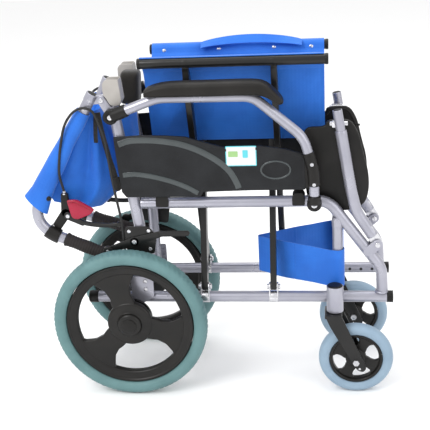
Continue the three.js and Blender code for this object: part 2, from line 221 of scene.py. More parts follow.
def double_faces(rows: int, columns: int) -> list:
    """Faces of a front grid, a matching back grid turned the other way, and the rim that joins them.

    Args:
        rows: rows of points in either grid.
        columns: points in a row.

    Returns:
        Each face's point numbers; the back grid's points follow the front grid's.
    """
    count = rows * columns
    front = grid_faces(rows, columns)
    back = [[i + count for i in reversed(f)] for f in front]
    index = np.arange(count).reshape(rows, columns)
    rim = np.concatenate([index[0, :], index[1:, -1], index[-1, -2::-1], index[-2:0:-1, 0]])
    ahead = np.roll(rim, -1)
    return front + back + np.stack([ahead, rim, rim + count, ahead + count], axis=1).tolist()


def unit(v: np.ndarray) -> np.ndarray:
    """Vectors along the last axis at length one."""
    return v / np.maximum(np.linalg.norm(v, axis=-1, keepdims=True), 1e-9)


def bent_path(corners: list, bends: list, arc: int = 10) -> np.ndarray:
    """A path through corners, each rounded by a quadratic curve that starts its bend length before it.

    Args:
        corners: the path's corner points.
        bends: the bend length at each inner corner.
        arc: points on each bend.

    Returns:
        The points, (1-t)^2 before + 2t(1-t) corner + t^2 after on each bend.
    """
    c = np.array(corners, float)
    t = np.linspace(0, 1, arc)[:, None]
    pieces = [c[:1]]
    for before, corner, after, bend in zip(c[:-2], c[1:-1], c[2:], bends):
        start = corner + unit(before - corner) * bend
        end = corner + unit(after - corner) * bend
        pieces.append((1 - t) ** 2 * start + 2 * t * (1 - t) * corner + t**2 * end)
    return np.vstack(pieces + [c[-1:]])


def in_plane(corners: list, w: float) -> list:
    """Corner points in x and z, lifted to a constant w."""
    return [(x, w, z) for x, z in corners]


def lengths(path: np.ndarray) -> np.ndarray:
    """Distance along a path to each of its points."""
    return np.concatenate([[0.0], np.cumsum(np.linalg.norm(np.diff(path, axis=0), axis=1))])


def resample(path: np.ndarray, at: np.ndarray) -> np.ndarray:
    """Points of a path at given distances along it."""
    s = lengths(path)
    return np.stack([np.interp(at, s, path[:, k]) for k in range(path.shape[1])], axis=1)


def smooth_path(points: list, count: int) -> np.ndarray:
    """A Catmull-Rom curve through points.

    Args:
        points: the points it passes through.
        count: how many points to return.

    Returns:
        Points evenly spread over the curve's parameter; each stretch is the cubic whose slopes at its
        ends are half the difference of the neighbouring points.
    """
    p = np.array(points, float)
    q = np.vstack([2 * p[0] - p[1], p, 2 * p[-1] - p[-2]])
    u = np.linspace(0, len(p) - 1 - 1e-9, count)
    i = u.astype(int)
    t = (u - i)[:, None]
    a, b, c, d = q[i], q[i + 1], q[i + 2], q[i + 3]
    return 0.5 * (2 * b + (c - a) * t + (2 * a - 5 * b + 4 * c - d) * t**2 + (3 * b - a - 3 * c + d) * t**3)


def circle(sides: int) -> np.ndarray:
    """A unit circle's points."""
    t = np.arange(sides) * 2 * pi / sides
    return np.stack([np.cos(t), np.sin(t)], axis=1)


def superellipse(sides: int, power: float, wide: float, tall: float) -> np.ndarray:
    """A closed section, |x/wide|^power + |y/tall|^power = 1; power 2 is an ellipse and 6 nearly a box."""
    c = circle(sides)
    return np.sign(c) * np.abs(c) ** (2 / power) * np.array([wide, tall])


def sweep(path: np.ndarray, radii: float | np.ndarray, section: np.ndarray | None = None, sides: int = 20,
          reference: tuple = (0, 1, 0), closed: bool = False) -> Shape:
    """Carry a closed section along a path.

    Args:
        path: points on the path.
        radii: the section's scale, one number or one for each point.
        section: the section's points, across and up; a unit circle if left out.
        sides: points on the circle.
        reference: a direction that the path never takes; the section's first axis stays nearest to it.
        closed: whether the path returns to its start.

    Returns:
        point + radius (a across + b up), where up is tangent x across, closed by a face at each end.
    """
    s = circle(sides) if section is None else section
    n, k = len(path), len(s)
    tangent = np.roll(path, -1, 0) - np.roll(path, 1, 0) if closed else np.gradient(path, axis=0)
    tangent = unit(tangent)
    ref = np.broadcast_to(np.array(reference, float), tangent.shape)
    across = unit(ref - (ref * tangent).sum(1, keepdims=True) * tangent)
    up = np.cross(tangent, across)
    r = np.broadcast_to(np.asarray(radii, float), (n,))[:, None, None]
    ring = path[:, None] + r * (s[None, :, :1] * across[:, None] + s[None, :, 1:] * up[:, None])
    faces = grid_faces(n, k, wrap_rows=True, wrap_columns=True) if closed else capped_faces(n, k)
    round_it = np.linspace(0, 1, k) * np.linalg.norm(np.roll(s, -1, 0) - s, axis=1).sum() * np.mean(r)
    uv = np.stack(np.broadcast_arrays(lengths(path)[:, None], round_it[None]), axis=-1).reshape(-1, 2)
    return Shape(ring.reshape(-1, 3), faces, uv)


def tube(path: np.ndarray, radius: float, round_end: float = 1.2, step: float = 6.0, sides: int = 24,
         reference: tuple = (0, 1, 0), section: np.ndarray | None = None) -> Shape:
    """A bar along a path with softly rounded ends.

    Args:
        path: points on the path.
        radius: the bar's radius, or the section's scale.
        round_end: length of the rounding, over which the radius follows a quarter circle.
        step: distance between rings.
        sides: sides of the bar.
        reference: as in sweep.
        section: as in sweep.

    Returns:
        The bar.
    """
    total = lengths(path)[-1]
    bow = 1 - np.cos(np.linspace(0.15, 1, 5) * pi / 2)
    ends = round_end * bow
    middle = np.linspace(round_end, total - round_end, max(2, int(total / step)))[1:-1]
    at = np.concatenate([ends, middle, total - ends[::-1]])
    at[0], at[-1] = 0.0, total
    near = np.clip(np.minimum(at, total - at) / round_end, 0, 1)
    shrink = radius - round_end * (1 - np.sqrt(1 - (1 - near) ** 2)) if section is None else radius
    return sweep(resample(path, at), shrink, section=section, sides=sides, reference=reference)


def bar(a: tuple, b: tuple, radius: float, round_end: float = 1.0, sides: int = 24,
        reference: tuple = (0, 1, 0)) -> Shape:
    """A straight round bar between two points."""
    path = np.array([a, b], float)
    return tube(path, radius, round_end, step=40.0, sides=sides, reference=reference)


def cross_bar(x: float, z: float, radius: float, w0: float, w1: float, round_end: float = 1.0,
              sides: int = 32) -> Shape:
    """A round bar across the chair."""
    return bar((x, w0, z), (x, w1, z), radius, round_end, sides, reference=(1, 0, 0))


def turned(profile: np.ndarray, x: float, z: float, sides: int = 96, closed: bool = True,
           swell: np.ndarray | None = None) -> Shape:
    """A profile turned round a cross axis.

    Args:
        profile: points of radius and w.
        x: the axis's place.
        z: the axis's place.
        sides: steps round the turn.
        closed: whether the profile meets itself; if not, each end is closed with a flat face.
        swell: extra radius for each profile point and step, if any.

    Returns:
        (x + r cos t, w, z + r sin t) for every profile point and step t.
    """
    p = np.array(profile, float)
    t = np.arange(sides) * 2 * pi / sides
    r = p[:, :1] + (0 if swell is None else swell)
    r = np.broadcast_to(r, (len(p), sides))
    w = np.broadcast_to(p[:, 1:], r.shape)
    points = np.stack([x + r * np.cos(t), w, z + r * np.sin(t)], axis=-1).reshape(-1, 3)
    faces = grid_faces(len(p), sides, wrap_rows=closed, wrap_columns=True)
    if not closed:
        faces += [list(range(sides)), list(range((len(p) - 1) * sides, len(p) * sides))[::-1]]
    uv = np.stack(np.broadcast_arrays(lengths(p)[:, None], (t * p[:, 0].max())[None]), axis=-1).reshape(-1, 2)
    return Shape(points, faces, uv)


def rounded(outline: list, radius: float | list, arc: int = 5) -> np.ndarray:
    """A closed outline with each corner replaced by a quadratic curve, at most 45% along each edge.

    Args:
        outline: corner points, in order.
        radius: how far from the corner its curve starts, one number or one for each corner.
        arc: points on each curve.

    Returns:
        The points, (1-t)^2 start + 2t(1-t) corner + t^2 end at each corner.
    """
    p = np.array(outline, float)
    before, after = np.roll(p, 1, 0) - p, np.roll(p, -1, 0) - p
    r = np.broadcast_to(np.asarray(radius, float), (len(p),))
    back = np.minimum(r, 0.45 * np.linalg.norm(before, axis=1))[:, None]
    ahead = np.minimum(r, 0.45 * np.linalg.norm(after, axis=1))[:, None]
    start, end = p + unit(before) * back, p + unit(after) * ahead
    t = np.linspace(0, 1, arc)[None, :, None]
    curve = (1 - t) ** 2 * start[:, None] + 2 * t * (1 - t) * p[:, None] + t**2 * end[:, None]
    return curve.reshape(-1, 2)


def inset(outline: np.ndarray, depth: float) -> np.ndarray:
    """An outline pulled in by a depth along the mean of its neighbouring edges' normals.

    Args:
        outline: its points, in either direction.
        depth: how far each point moves inwards.

    Returns:
        The smaller outline, with as many points.
    """
    edge = unit(np.roll(outline, -1, 0) - outline)
    normal = np.stack([edge[:, 1], -edge[:, 0]], axis=1)
    area = np.sum(outline[:, 0] * np.roll(outline[:, 1], -1) - np.roll(outline[:, 0], -1) * outline[:, 1])
    mean = unit(normal + np.roll(normal, 1, 0)) * np.sign(area)
    return outline - mean * depth


def slab(outline: np.ndarray, w0: float, w1: float, edge: float = 0.8, steps: int = 3,
         crown: float = 0.0) -> Shape:
    """A plate with rounded edges, its outline in x and z.

    Args:
        outline: the outline's points, in order.
        w0: one face's place.
        w1: the other face's place.
        edge: radius of the edge rounding.
        steps: rings on each rounding; ring k is pulled in by edge (1 - sin a) at a depth of edge (1 - cos a).
        crown: how far each face's middle stands proud, reached over three more rings.

    Returns:
        The plate.
    """
    a = np.linspace(0, pi / 2, steps + 1)
    pull, depth = edge * (1 - np.sin(a)), edge * (1 - np.cos(a))
    rings = [inset(outline, d) for d in pull] + [inset(outline, d) for d in pull[::-1]]
    places = list(w0 + depth) + list(w1 - depth[::-1])
    if crown:
        centre = outline.mean(0)
        for share, rise in ((0.85, 0.45), (0.6, 0.8), (0.3, 1.0)):
            inner = centre + (inset(outline, edge) - centre) * share
            rings = [inner] + rings + [inner]
            places = [w0 - crown * rise] + places + [w1 + crown * rise]
    n = len(outline)
    points = np.vstack([np.stack([r[:, 0], np.full(n, w), r[:, 1]], axis=1) for r, w in zip(rings, places)])
    return Shape(points, capped_faces(len(rings), n), points[:, [0, 2]].copy())


def link(a: tuple, b: tuple, ra: float, rb: float, w0: float, w1: float, edge: float = 0.8,
         steps: int = 14) -> Shape:
    """A flat bar with round ends between two points in x and z.

    Args:
        a: the first end's centre.
        b: the second end's centre.
        ra: the first end's radius.
        rb: the second end's radius.
        w0: one face's place.
        w1: the other face's place.
        edge: radius of the edge rounding.
        steps: points on each round end.

    Returns:
        The bar, its outline two half circles joined by straight edges.
    """
    a, b = np.array(a, float), np.array(b, float)
    heading = np.arctan2(*(b - a)[::-1])
    t = np.linspace(pi / 2, 3 * pi / 2, steps) + heading
    ends = [a + ra * np.stack([np.cos(t), np.sin(t)], 1), b - rb * np.stack([np.cos(t), np.sin(t)], 1)]
    return slab(np.vstack(ends), w0, w1, edge)


def bolt(x: float, z: float, w: float, radius: float = 4.0, height: float = 2.2, outward: int = 1) -> Shape:
    """A domed screw head with a round socket, on a face at w.

    Args:
        x: the screw's place.
        z: the screw's place.
        w: the face that it sits on.
        radius: the head's radius.
        height: the head's height.
        outward: 1 for a head that faces outwards, -1 inwards.

    Returns:
        The head, its profile turned round the screw's axis.
    """
    o = outward
    profile = [(radius, w - 0.4 * o), (radius, w + 0.35 * height * o), (0.9 * radius, w + 0.8 * height * o),
               (0.62 * radius, w + height * o), (0.5 * radius, w + height * o),
               (0.46 * radius, w + 0.35 * height * o), (0.1, w + 0.3 * height * o)]
    return turned(profile, x, z, 28, closed=False)


def hex_head(x: float, z: float, w0: float, w1: float, radius: float) -> Shape:
    """A hexagonal nut or bolt head."""
    corners = np.array([x, z]) + radius * circle(6)
    return slab(rounded(corners, 0.15 * radius, 3), w0, w1, 0.5)


def cloth(surface: np.ndarray, thickness: float) -> Shape:
    """A thin closed sheet either side of a grid of points.

    Args:
        surface: grid of points, rows by columns by three.
        thickness: the cloth's thickness.

    Returns:
        The grid moved half the thickness each way along its normals, with the rim closed; the pattern
        positions are distances along the cloth.
    """
    n, m = surface.shape[:2]
    du, dv = np.gradient(surface, axis=0), np.gradient(surface, axis=1)
    normal = unit(np.cross(du, dv))
    sides = [(surface + s * normal * thickness / 2).reshape(-1, 3) for s in (1, -1)]
    u = np.cumsum(np.linalg.norm(np.diff(surface, axis=0, prepend=surface[:1]), axis=2), axis=0)
    v = np.cumsum(np.linalg.norm(np.diff(surface, axis=1, prepend=surface[:, :1]), axis=2), axis=1)
    uv = np.stack([u, v], axis=-1).reshape(-1, 2)
    return Shape(np.vstack(sides), double_faces(n, m), np.vstack([uv, uv]))


def ripple(u: np.ndarray, v: np.ndarray, seed: int, waves: int = 6, finest: float = 3.0) -> np.ndarray:
    """Soft creases: a sum of sine waves with seeded directions and phases, the finer ones weaker.

    Args:
        u: position along the cloth, 0 to 1.
        v: position across the cloth, 0 to 1.
        seed: seed of the draw.
        waves: how many waves are summed.
        finest: most waves across the cloth.

    Returns:
        Heights from about -1 to 1.
    """
    draw = np.random.default_rng(seed)
    total = np.zeros(np.broadcast(u, v).shape)
    for k in range(waves):
        f = 0.6 + finest * (k + 1) / waves
        heading, phase = draw.uniform(-0.9, 0.9), draw.uniform(0, 2 * pi)
        total = total + np.sin(2 * pi * f * (u * cos(heading) + v * sin(heading)) + phase) / f
    return total / 1.6


# ---------------------------------------------------------------- finishes


@dataclass(frozen=True)
class Finish:
    """A surface finish: its record slot, colours, and the fine structure worked out from its nodes.

    colour and shade are linear colours that a broad mottle mixes; rough is the roughness at the mottle's
    two ends; grain is the size of the fine structure in millimetres and relief its strength.
    """

    name: str
    slot: str
    colour: tuple
    shade: tuple
    rough: tuple = (0.4, 0.5)
    metal: float = 0.0
    pattern: Pattern = Pattern.SATIN
    grain: float = 0.6
    relief: float = 0.08
    mottle: float = 45.0
    coat: float = 0.0
    sheen: float = 0.0
    gloss: float = 0.5

    def material(self) -> bpy.types.Material:
        """The finish's material, made once and shared by every piece that wears it.

        Returns:
            The material: mottled colour and roughness, and a bump from the finish's fine structure.
        """
        found = bpy.data.materials.get(self.name)
        if found:
            return found
        material = bpy.data.materials.new(self.name)
        material.use_nodes = True
        tree = material.node_tree
        shader = tree.nodes["Principled BSDF"]
        shader.inputs["Metallic"].default_value = self.metal
        shader.inputs["Specular IOR Level"].default_value = self.gloss
        shader.inputs["Coat Weight"].default_value = self.coat
        shader.inputs["Coat Roughness"].default_value = 0.18
        shader.inputs["Sheen Weight"].default_value = self.sheen
        shader.inputs["Sheen Roughness"].default_value = 0.5
        place = tree.nodes.new("ShaderNodeTexCoord")
        broad = self._noise(tree, place.outputs["Object"], 1000 / self.mottle, 3.0)
        mix = tree.nodes.new("ShaderNodeMix")
        mix.data_type = "RGBA"
        mix.inputs[6].default_value = (*self.colour, 1)
        mix.inputs[7].default_value = (*self.shade, 1)
        tree.links.new(self._spread(tree, broad, 0.35, 0.65), mix.inputs[0])
        tree.links.new(mix.outputs[2], shader.inputs["Base Color"])
        rough = self._spread(tree, broad, 0.3, 0.7, *self.rough)
        tree.links.new(rough, shader.inputs["Roughness"])
        height = self._height(tree, place)
        bump = tree.nodes.new("ShaderNodeBump")
        bump.inputs["Strength"].default_value = self.relief
        bump.inputs["Distance"].default_value = self.grain * MM
        tree.links.new(height, bump.inputs["Height"])
        tree.links.new(bump.outputs["Normal"], shader.inputs["Normal"])
        return material

    def _noise(self, tree: bpy.types.NodeTree, position: bpy.types.NodeSocket, scale: float,
               detail: float) -> bpy.types.NodeSocket:
        """A noise texture's height at a scale in waves per metre.

        Args:
            tree: the material's node tree.
            position: where the noise is read.
            scale: waves per metre.
            detail: how many finer layers are added.

        Returns:
            The noise's output.
        """
        noise = tree.nodes.new("ShaderNodeTexNoise")
        noise.inputs["Scale"].default_value = scale
        noise.inputs["Detail"].default_value = detail
        tree.links.new(position, noise.inputs["Vector"])
        return noise.outputs["Fac"]

    def _spread(self, tree: bpy.types.NodeTree, value: bpy.types.NodeSocket, low: float, high: float,
                start: float = 0.0, end: float = 1.0) -> bpy.types.NodeSocket:
        """A value that runs from start to end while the given one goes from low to high.

        Args:
            tree: the material's node tree.
            value: the given value.
            low: where the given value starts to count.
            high: where it stops.
            start: the result at low.
            end: the result at high.

        Returns:
            The new value's output.
        """
        spread = tree.nodes.new("ShaderNodeMapRange")
        for name, number in (("From Min", low), ("From Max", high), ("To Min", start), ("To Max", end)):
            spread.inputs[name].default_value = number
        tree.links.new(value, spread.inputs["Value"])
        return spread.outputs["Result"]

    def _height(self, tree: bpy.types.NodeTree, place: bpy.types.Node) -> bpy.types.NodeSocket:
        """The fine structure: orange peel, moulded grain, or two crossed sets of threads along the cloth.

        Args:
            tree: the material's node tree.
            place: the node that gives positions.

        Returns:
            The structure's height, as an output.
        """
        if self.pattern is not Pattern.WOVEN:
            detail = 1.0 if self.pattern is Pattern.SATIN else 4.0
            return self._noise(tree, place.outputs["Object"], 1000 / self.grain, detail)
        threads = []
        for direction in ("X", "Y"):
            wave = tree.nodes.new("ShaderNodeTexWave")
            wave.bands_direction = direction
            wave.inputs["Scale"].default_value = 50 / self.grain
            wave.inputs["Distortion"].default_value = 0.6
            tree.links.new(place.outputs["UV"], wave.inputs["Vector"])
            threads.append(wave.outputs["Fac"])
        crossed = tree.nodes.new("ShaderNodeMath")
        crossed.operation = "MULTIPLY"
        tree.links.new(threads[0], crossed.inputs[0])
        tree.links.new(threads[1], crossed.inputs[1])
        return crossed.outputs[0]


FRAME_PAINT = Finish("silver_lavender_paint", "frame_paint", (0.37, 0.37, 0.425), (0.325, 0.325, 0.38),
                     (0.26, 0.34), metal=0.55, grain=0.9, relief=0.05, coat=0.25)
ZINC = Finish("bright_zinc", "frame_paint", (0.66, 0.66, 0.68), (0.55, 0.55, 0.58), (0.2, 0.32), metal=0.9,
              grain=0.5, mottle=12)
GREY_NYLON = Finish("grey_nylon", "grey_plastic", (0.38, 0.36, 0.335), (0.33, 0.31, 0.29), (0.42, 0.52),
                    pattern=Pattern.MOULDED)
BLACK_PLASTIC = Finish("black_moulding", "black_plastic", (0.008, 0.007, 0.006), (0.005, 0.0045, 0.004),
                       (0.34, 0.5), pattern=Pattern.MOULDED, grain=0.8, relief=0.15, gloss=0.28)
BLACK_STEEL = Finish("black_powder_coat", "black_steel", (0.008, 0.0075, 0.007), (0.005, 0.005, 0.005),
                     (0.28, 0.4), grain=0.7, relief=0.12, coat=0.12, gloss=0.32)
RIM_NYLON = Finish("rim_nylon", "rim_plastic", (0.008, 0.007, 0.006), (0.005, 0.0045, 0.004), (0.3, 0.44),
                   pattern=Pattern.MOULDED, grain=1.0, relief=0.12, coat=0.06, gloss=0.28)
REAR_RUBBER = Finish("grey_green_rubber", "rear_rubber", (0.115, 0.220, 0.225), (0.095, 0.185, 0.190),
                     (0.5, 0.64), pattern=Pattern.MOULDED, grain=0.9, relief=0.12, gloss=0.35)
CASTER_RUBBER = Finish("pale_blue_rubber", "caster_rubber", (0.255, 0.35, 0.44), (0.22, 0.31, 0.40),
                       (0.42, 0.55), pattern=Pattern.MOULDED, grain=0.9, relief=0.08, gloss=0.35)
GRIP_RUBBER = Finish("grip_rubber", "grip_rubber", (0.008, 0.0075, 0.007), (0.005, 0.005, 0.005), (0.5, 0.65),
                     pattern=Pattern.MOULDED, grain=0.7, relief=0.25, gloss=0.22)
RED_PLASTIC = Finish("red_moulding", "red_plastic", (0.34, 0.003, 0.032), (0.27, 0.002, 0.022), (0.22, 0.32),
                     pattern=Pattern.MOULDED, grain=0.7, relief=0.05, coat=0.15, gloss=0.35)
BLUE_NYLON = Finish("blue_coated_nylon", "blue_fabric", (0.017, 0.150, 0.60), (0.011, 0.115, 0.50),
                    (0.5, 0.62), pattern=Pattern.WOVEN, grain=1.1, relief=0.16, mottle=70, sheen=0.2,
                    gloss=0.25)
BLACK_WEBBING = Finish("black_webbing", "pad_skin", (0.012, 0.011, 0.010), (0.007, 0.007, 0.007), (0.6, 0.75),
                       pattern=Pattern.WOVEN, grain=1.6, relief=0.5, sheen=0.2, gloss=0.2)
PAD_SKIN = Finish("foam_pad_skin", "pad_skin", (0.011, 0.0095, 0.008), (0.007, 0.006, 0.005), (0.42, 0.56),
                  pattern=Pattern.MOULDED, grain=1.3, relief=0.3, gloss=0.25)
BLACK_CLOTH = Finish("black_pad_cloth", "pad_skin", (0.014, 0.012, 0.009), (0.009, 0.007, 0.005), (0.7, 0.85),
                     pattern=Pattern.MOULDED, grain=1.2, relief=0.4, sheen=0.25, gloss=0.2)
PANEL_GRAIN = Finish("panel_grain", "panel_plastic", (0.012, 0.013, 0.015), (0.008, 0.0085, 0.010),
                     (0.44, 0.58), pattern=Pattern.MOULDED, grain=1.4, relief=0.35, gloss=0.25)
PANEL_GLOSS = Finish("panel_gloss_band", "panel_plastic", (0.042, 0.052, 0.054), (0.030, 0.038, 0.040),
                     (0.2, 0.3), grain=1.0, relief=0.03, coat=0.35, gloss=0.4)
CABLE_JACKET = Finish("cable_jacket", "cable_jacket", (0.006, 0.006, 0.006), (0.004, 0.004, 0.004),
                      (0.3, 0.4), grain=0.5, gloss=0.3)
LABEL_WHITE = Finish("label_white", "panel_plastic", (0.66, 0.68, 0.68), (0.62, 0.64, 0.64), (0.4, 0.5),
                     grain=0.5, relief=0.02)
LABEL_CYAN = Finish("label_cyan", "panel_plastic", (0.10, 0.55, 0.62), (0.09, 0.50, 0.57), (0.4, 0.5),
                    grain=0.5, relief=0.02)
LABEL_GREEN = Finish("label_green", "panel_plastic", (0.30, 0.50, 0.20), (0.27, 0.46, 0.18), (0.4, 0.5),
                     grain=0.5, relief=0.02)
# Painted shade: a flat near-black finish for the discs that stand in for the shadowed insides of drilled
# holes and open tube ends.
HOLE_SHADE_PAINT = Finish("painted_hole_shade", "black_plastic", (0.008, 0.008, 0.009), (0.006, 0.006, 0.006), (0.6, 0.7))


def build(name: str, shape: Shape, side: Side, finish: Finish, body: str | None = None, nodes: tuple = (),
          crease: float = 38.0) -> bpy.types.Object:
    """Make a piece of the object from a surface.

    Args:
        name: the piece's name.
        shape: its surface in side coordinates.
        side: the half it belongs to; LEFT also serves for pieces on the middle plane.
        finish: what it is made of.
        body: the moving body it rides on, if it rides on one.
        nodes: the frame's plain solids it stands for.
        crease: edges sharper than this many degrees stay sharp.

    Returns:
        The object, at the origin with its place in its mesh.
    """
    mesh = bpy.data.meshes.new(name)
    mesh.from_pydata(side.place(shape.points).tolist(), [], shape.faces)
    corner_points = np.empty(len(mesh.loops), dtype=np.int32)
    mesh.loops.foreach_get("vertex_index", corner_points)
    layer = mesh.uv_layers.new(name="UVMap")
    layer.data.foreach_set("uv", (shape.uv[corner_points] * MM).astype(np.float32).ravel())
    edit = bmesh.new()
    edit.from_mesh(mesh)
    bmesh.ops.recalc_face_normals(edit, faces=edit.faces)
    edit.to_mesh(mesh)
    edit.free()
    mesh.shade_smooth()
    mesh.set_sharp_from_angle(angle=radians(crease))
    mesh.materials.append(finish.material())
    piece = bpy.data.objects.new(name, mesh)
    bpy.context.scene.collection.objects.link(piece)
    if body:
        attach(piece, body)
    if nodes:
        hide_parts(*nodes)
    LOG.info("%s: %d faces, %s", name, len(mesh.polygons), finish.name)
    return piece


# ---------------------------------------------------------------- frame tubes


@dataclass
class SidePart:
    """A sub-assembly of one side, with the body that its pieces ride on unless told otherwise."""

    side: Side
    part: str = "frame"

    def put(self, name: str, shape: Shape, finish: Finish, part: str = "", node: str = "",
            crease: float = 38.0) -> bpy.types.Object:
        """Build a piece of this side.

        Args:
            name: the piece's name without its side.
            shape: its surface in side coordinates.
            finish: what it is dressed in.
            part: the body it rides on, without its side, where that isn't the sub-assembly's own.
            node: the solid it stands for, without its side.
            crease: edges that turn more than this many degrees stay sharp.

        Returns:
            The finished object.
        """
        word = self.side.word
        return build(f"{word}_{name}", shape, self.side, finish, f"{word}_{part or self.part}",
                     (f"{word}_{node}",) if node else (), crease)


@dataclass
class SideFrame(SidePart):
    """One welded side frame with its fittings, from the lower rail to the backrest hinge."""

    part: str = "frame"
    lower_ends: tuple = (-74.0, 508.0)
    post_x: float = 411.0
    post_r: float = 10.0
    post_top: float = 359.0
    bead_places: tuple = ((411.0, 12.0), (495.5, 13.0), (25.5, 13.0))
    barrel_x: float = 405.0
    barrel_w: float = 100.0
    barrel_r: float = 16.3
    barrel_z: tuple = (174.8, 228.0)
    upper_corners: tuple = ((32, 391.5), (394.5, 392.5), (495, 253), (497, 203.6))
    upper_bends: tuple = (22, 14)
    rear_corners: tuple = ((25.5, 203.0), (25.5, 345), (-7.5, 586))
    saddles: tuple = ((63, 88), (326, 350))
    axle_plate: tuple = ((-12, 142), (10, 142), (20, 182), (46, 196), (46, 242), (1, 242), (1, 186),
                         (-12, 168))
    lock_plate: tuple = ((-2, 348), (46, 348), (60, 328), (54, 290), (-2, 298))
    lock_bolts: tuple = ((45, 339), (46, 301), (6, 338))
    drum_profile: tuple = ((6, 86.4), (36, 86.4), (39.5, 88), (39.9, 94.6), (33, 94.9), (30, 93.4),
                           (12, 93.4), (6, 94.8))
    cup_outline: tuple = ((-8, 590.6), (9, 590.6), (13.8, 600), (9.8, 639.6), (-15, 639.6), (-20.8, 632),
                          (-20.8, 612), (-16, 606))

    def stations(self) -> list:
        """Where the brace bars stand on this lower rail: outer ones on the right, inner ones on the left.

        Returns:
            The rear bar's and the front bar's x.
        """
        rear, front = BRACE_STATIONS
        shift = BRACE_OFFSET if self.side is Side.RIGHT else -BRACE_OFFSET
        return [rear + shift, front - shift]

    def along_rail(self, x0: float, x1: float, radius: float, round_end: float = 1.0) -> Shape:
        """A round piece on the lower rail's axis."""
        return bar((x0, RAIL_W, LOWER_Z), (x1, RAIL_W, LOWER_Z), radius, round_end)

    def standing(self, x: float, z0: float, z1: float, radius: float, round_end: float = 1.0) -> Shape:
        """A round upright piece in the side frame's plane."""
        return bar((x, RAIL_W, z0), (x, RAIL_W, z1), radius, round_end)

    def lower_rail(self) -> None:
        """Lower rail, caster barrel and front post in paint, with black end pieces and the brace brackets."""
        rail = self.along_rail(*self.lower_ends, TUBE_R)
        post = self.standing(self.post_x, LOWER_Z, self.post_top, self.post_r)
        collar = self.standing(self.post_x, 340, 357, self.post_r + 0.8)
        low, high = self.barrel_z
        barrel = bar((self.barrel_x, self.barrel_w, low), (self.barrel_x, self.barrel_w, high), self.barrel_r,
                     1.5, 40)
        weld = slab(rounded([(396, 182), (414, 182), (414, 201), (396, 201)], 5), RAIL_W, self.barrel_w - 8,
                    1.5)
        beads = [self.standing(x, LOWER_Z + 9, LOWER_Z + 14.5, r, 2.4) for x, r in self.bead_places]
        self.put("lower_rail_tube", joined([rail, post, collar, barrel, weld] + beads), FRAME_PAINT,
                 node="lower_rail")
        self.put("rail_ends", joined(self.end_pieces()), BLACK_PLASTIC)
        self.put("brace_brackets", joined(self.brackets()), ZINC)

    def end_pieces(self) -> list:
        """Ribbed front cap, tipping-lever tip and the barrel's domed cap.

        Returns:
            The pieces, all of the same black moulding.
        """
        ribs = np.arange(506.5, 518.0, 3.2)
        cap = [self.along_rail(505, 518, 11.4, 2.0)]
        cap += [self.along_rail(x, x + 1.7, 12.0, 0.6) for x in ribs]
        tip_path = np.array([(-90, RAIL_W, LOWER_Z), (-70, RAIL_W, LOWER_Z)], float)
        tip = [tube(tip_path, 12.4, 3.0, 4)]
        tip += [self.along_rail(x, x + 2, 12.5, 0.7) for x in (-84, -80, -76)]
        top = self.barrel_z[1]
        rise = np.linspace(0, 1, 6)
        dome_z = top - 1 + 3.4 * np.sin(rise * pi / 2)
        dome = np.stack([np.full(6, self.barrel_x), np.full(6, self.barrel_w), dome_z], axis=1)
        cup = sweep(dome, 15.4 * np.sqrt(np.maximum(1 - rise**2, 0.01)), sides=40)
        return cap + tip + [cup]

    def brackets(self) -> list:
        """Folded steel cheeks either side of each brace bar, their pivot bolts and the rail's clamp strap.

        Returns:
            The pieces, all of bright steel.
        """
        parts = []
        for x in self.stations():
            for s in (-1, 1):
                outline = [(-11.5, 194), (11.5, 194), (9, 216), (4, 222), (-4, 222), (-9, 216)]
                cheek = slab(rounded(outline, 3), -1.3, 1.3, 0.5)
                parts.append(cheek.laid((x + s * 7.9, RAIL_W, 0), (0, 1, 0), (1, 0, 0), (0, 0, 1)))
                near, far = x + s * 9.4, x + s * 13
                parts.append(bar((near, RAIL_W, BRACE_FOOT_Z), (far, RAIL_W, BRACE_FOOT_Z), 5.5, 0.8))
            parts.append(self.along_rail(x - 9.0, x + 9.0, TUBE_R + 1.0, 0.6))
        return parts

    def upper_rail(self) -> None:
        """Upper rail with the hanger lugs at its front, and the black saddle blocks for the seat rail."""
        rail = tube(bent_path(in_plane(self.upper_corners, RAIL_W), self.upper_bends, 14), TUBE_R, step=8)
        lugs = [link((470, 291), (487, 305), 10, 9.6, w0, w1) for w0, w1 in ((60, 64.4), (77.6, 82))]
        self.put("upper_rail_tube", joined([rail] + lugs), FRAME_PAINT, node="upper_rail")
        px, pz = HANGER_PIVOT
        bolts = [cross_bar(px, pz, 5.2, w0, w1, sides=24) for w0, w1 in ((56.5, 60.2), (81.8, 85.2))]
        shaft = cross_bar(px, pz, 3.9, 61, 81, 0.5, 24)
        self.put("hanger_bolt", joined(bolts + [shaft]), ZINC)
        blocks = []
        for a, b in self.saddles:
            outline = rounded([(a, 387), (b, 387), (b, 406), (b - 4, 412), (a + 4, 412), (a, 406)], 3)
            blocks += [slab(outline, w0, w0 + 2.0, 0.6) for w0 in (RAIL_W - 12.4, RAIL_W + 10.4)]
        self.put("seat_saddles", joined(blocks), BLACK_PLASTIC)

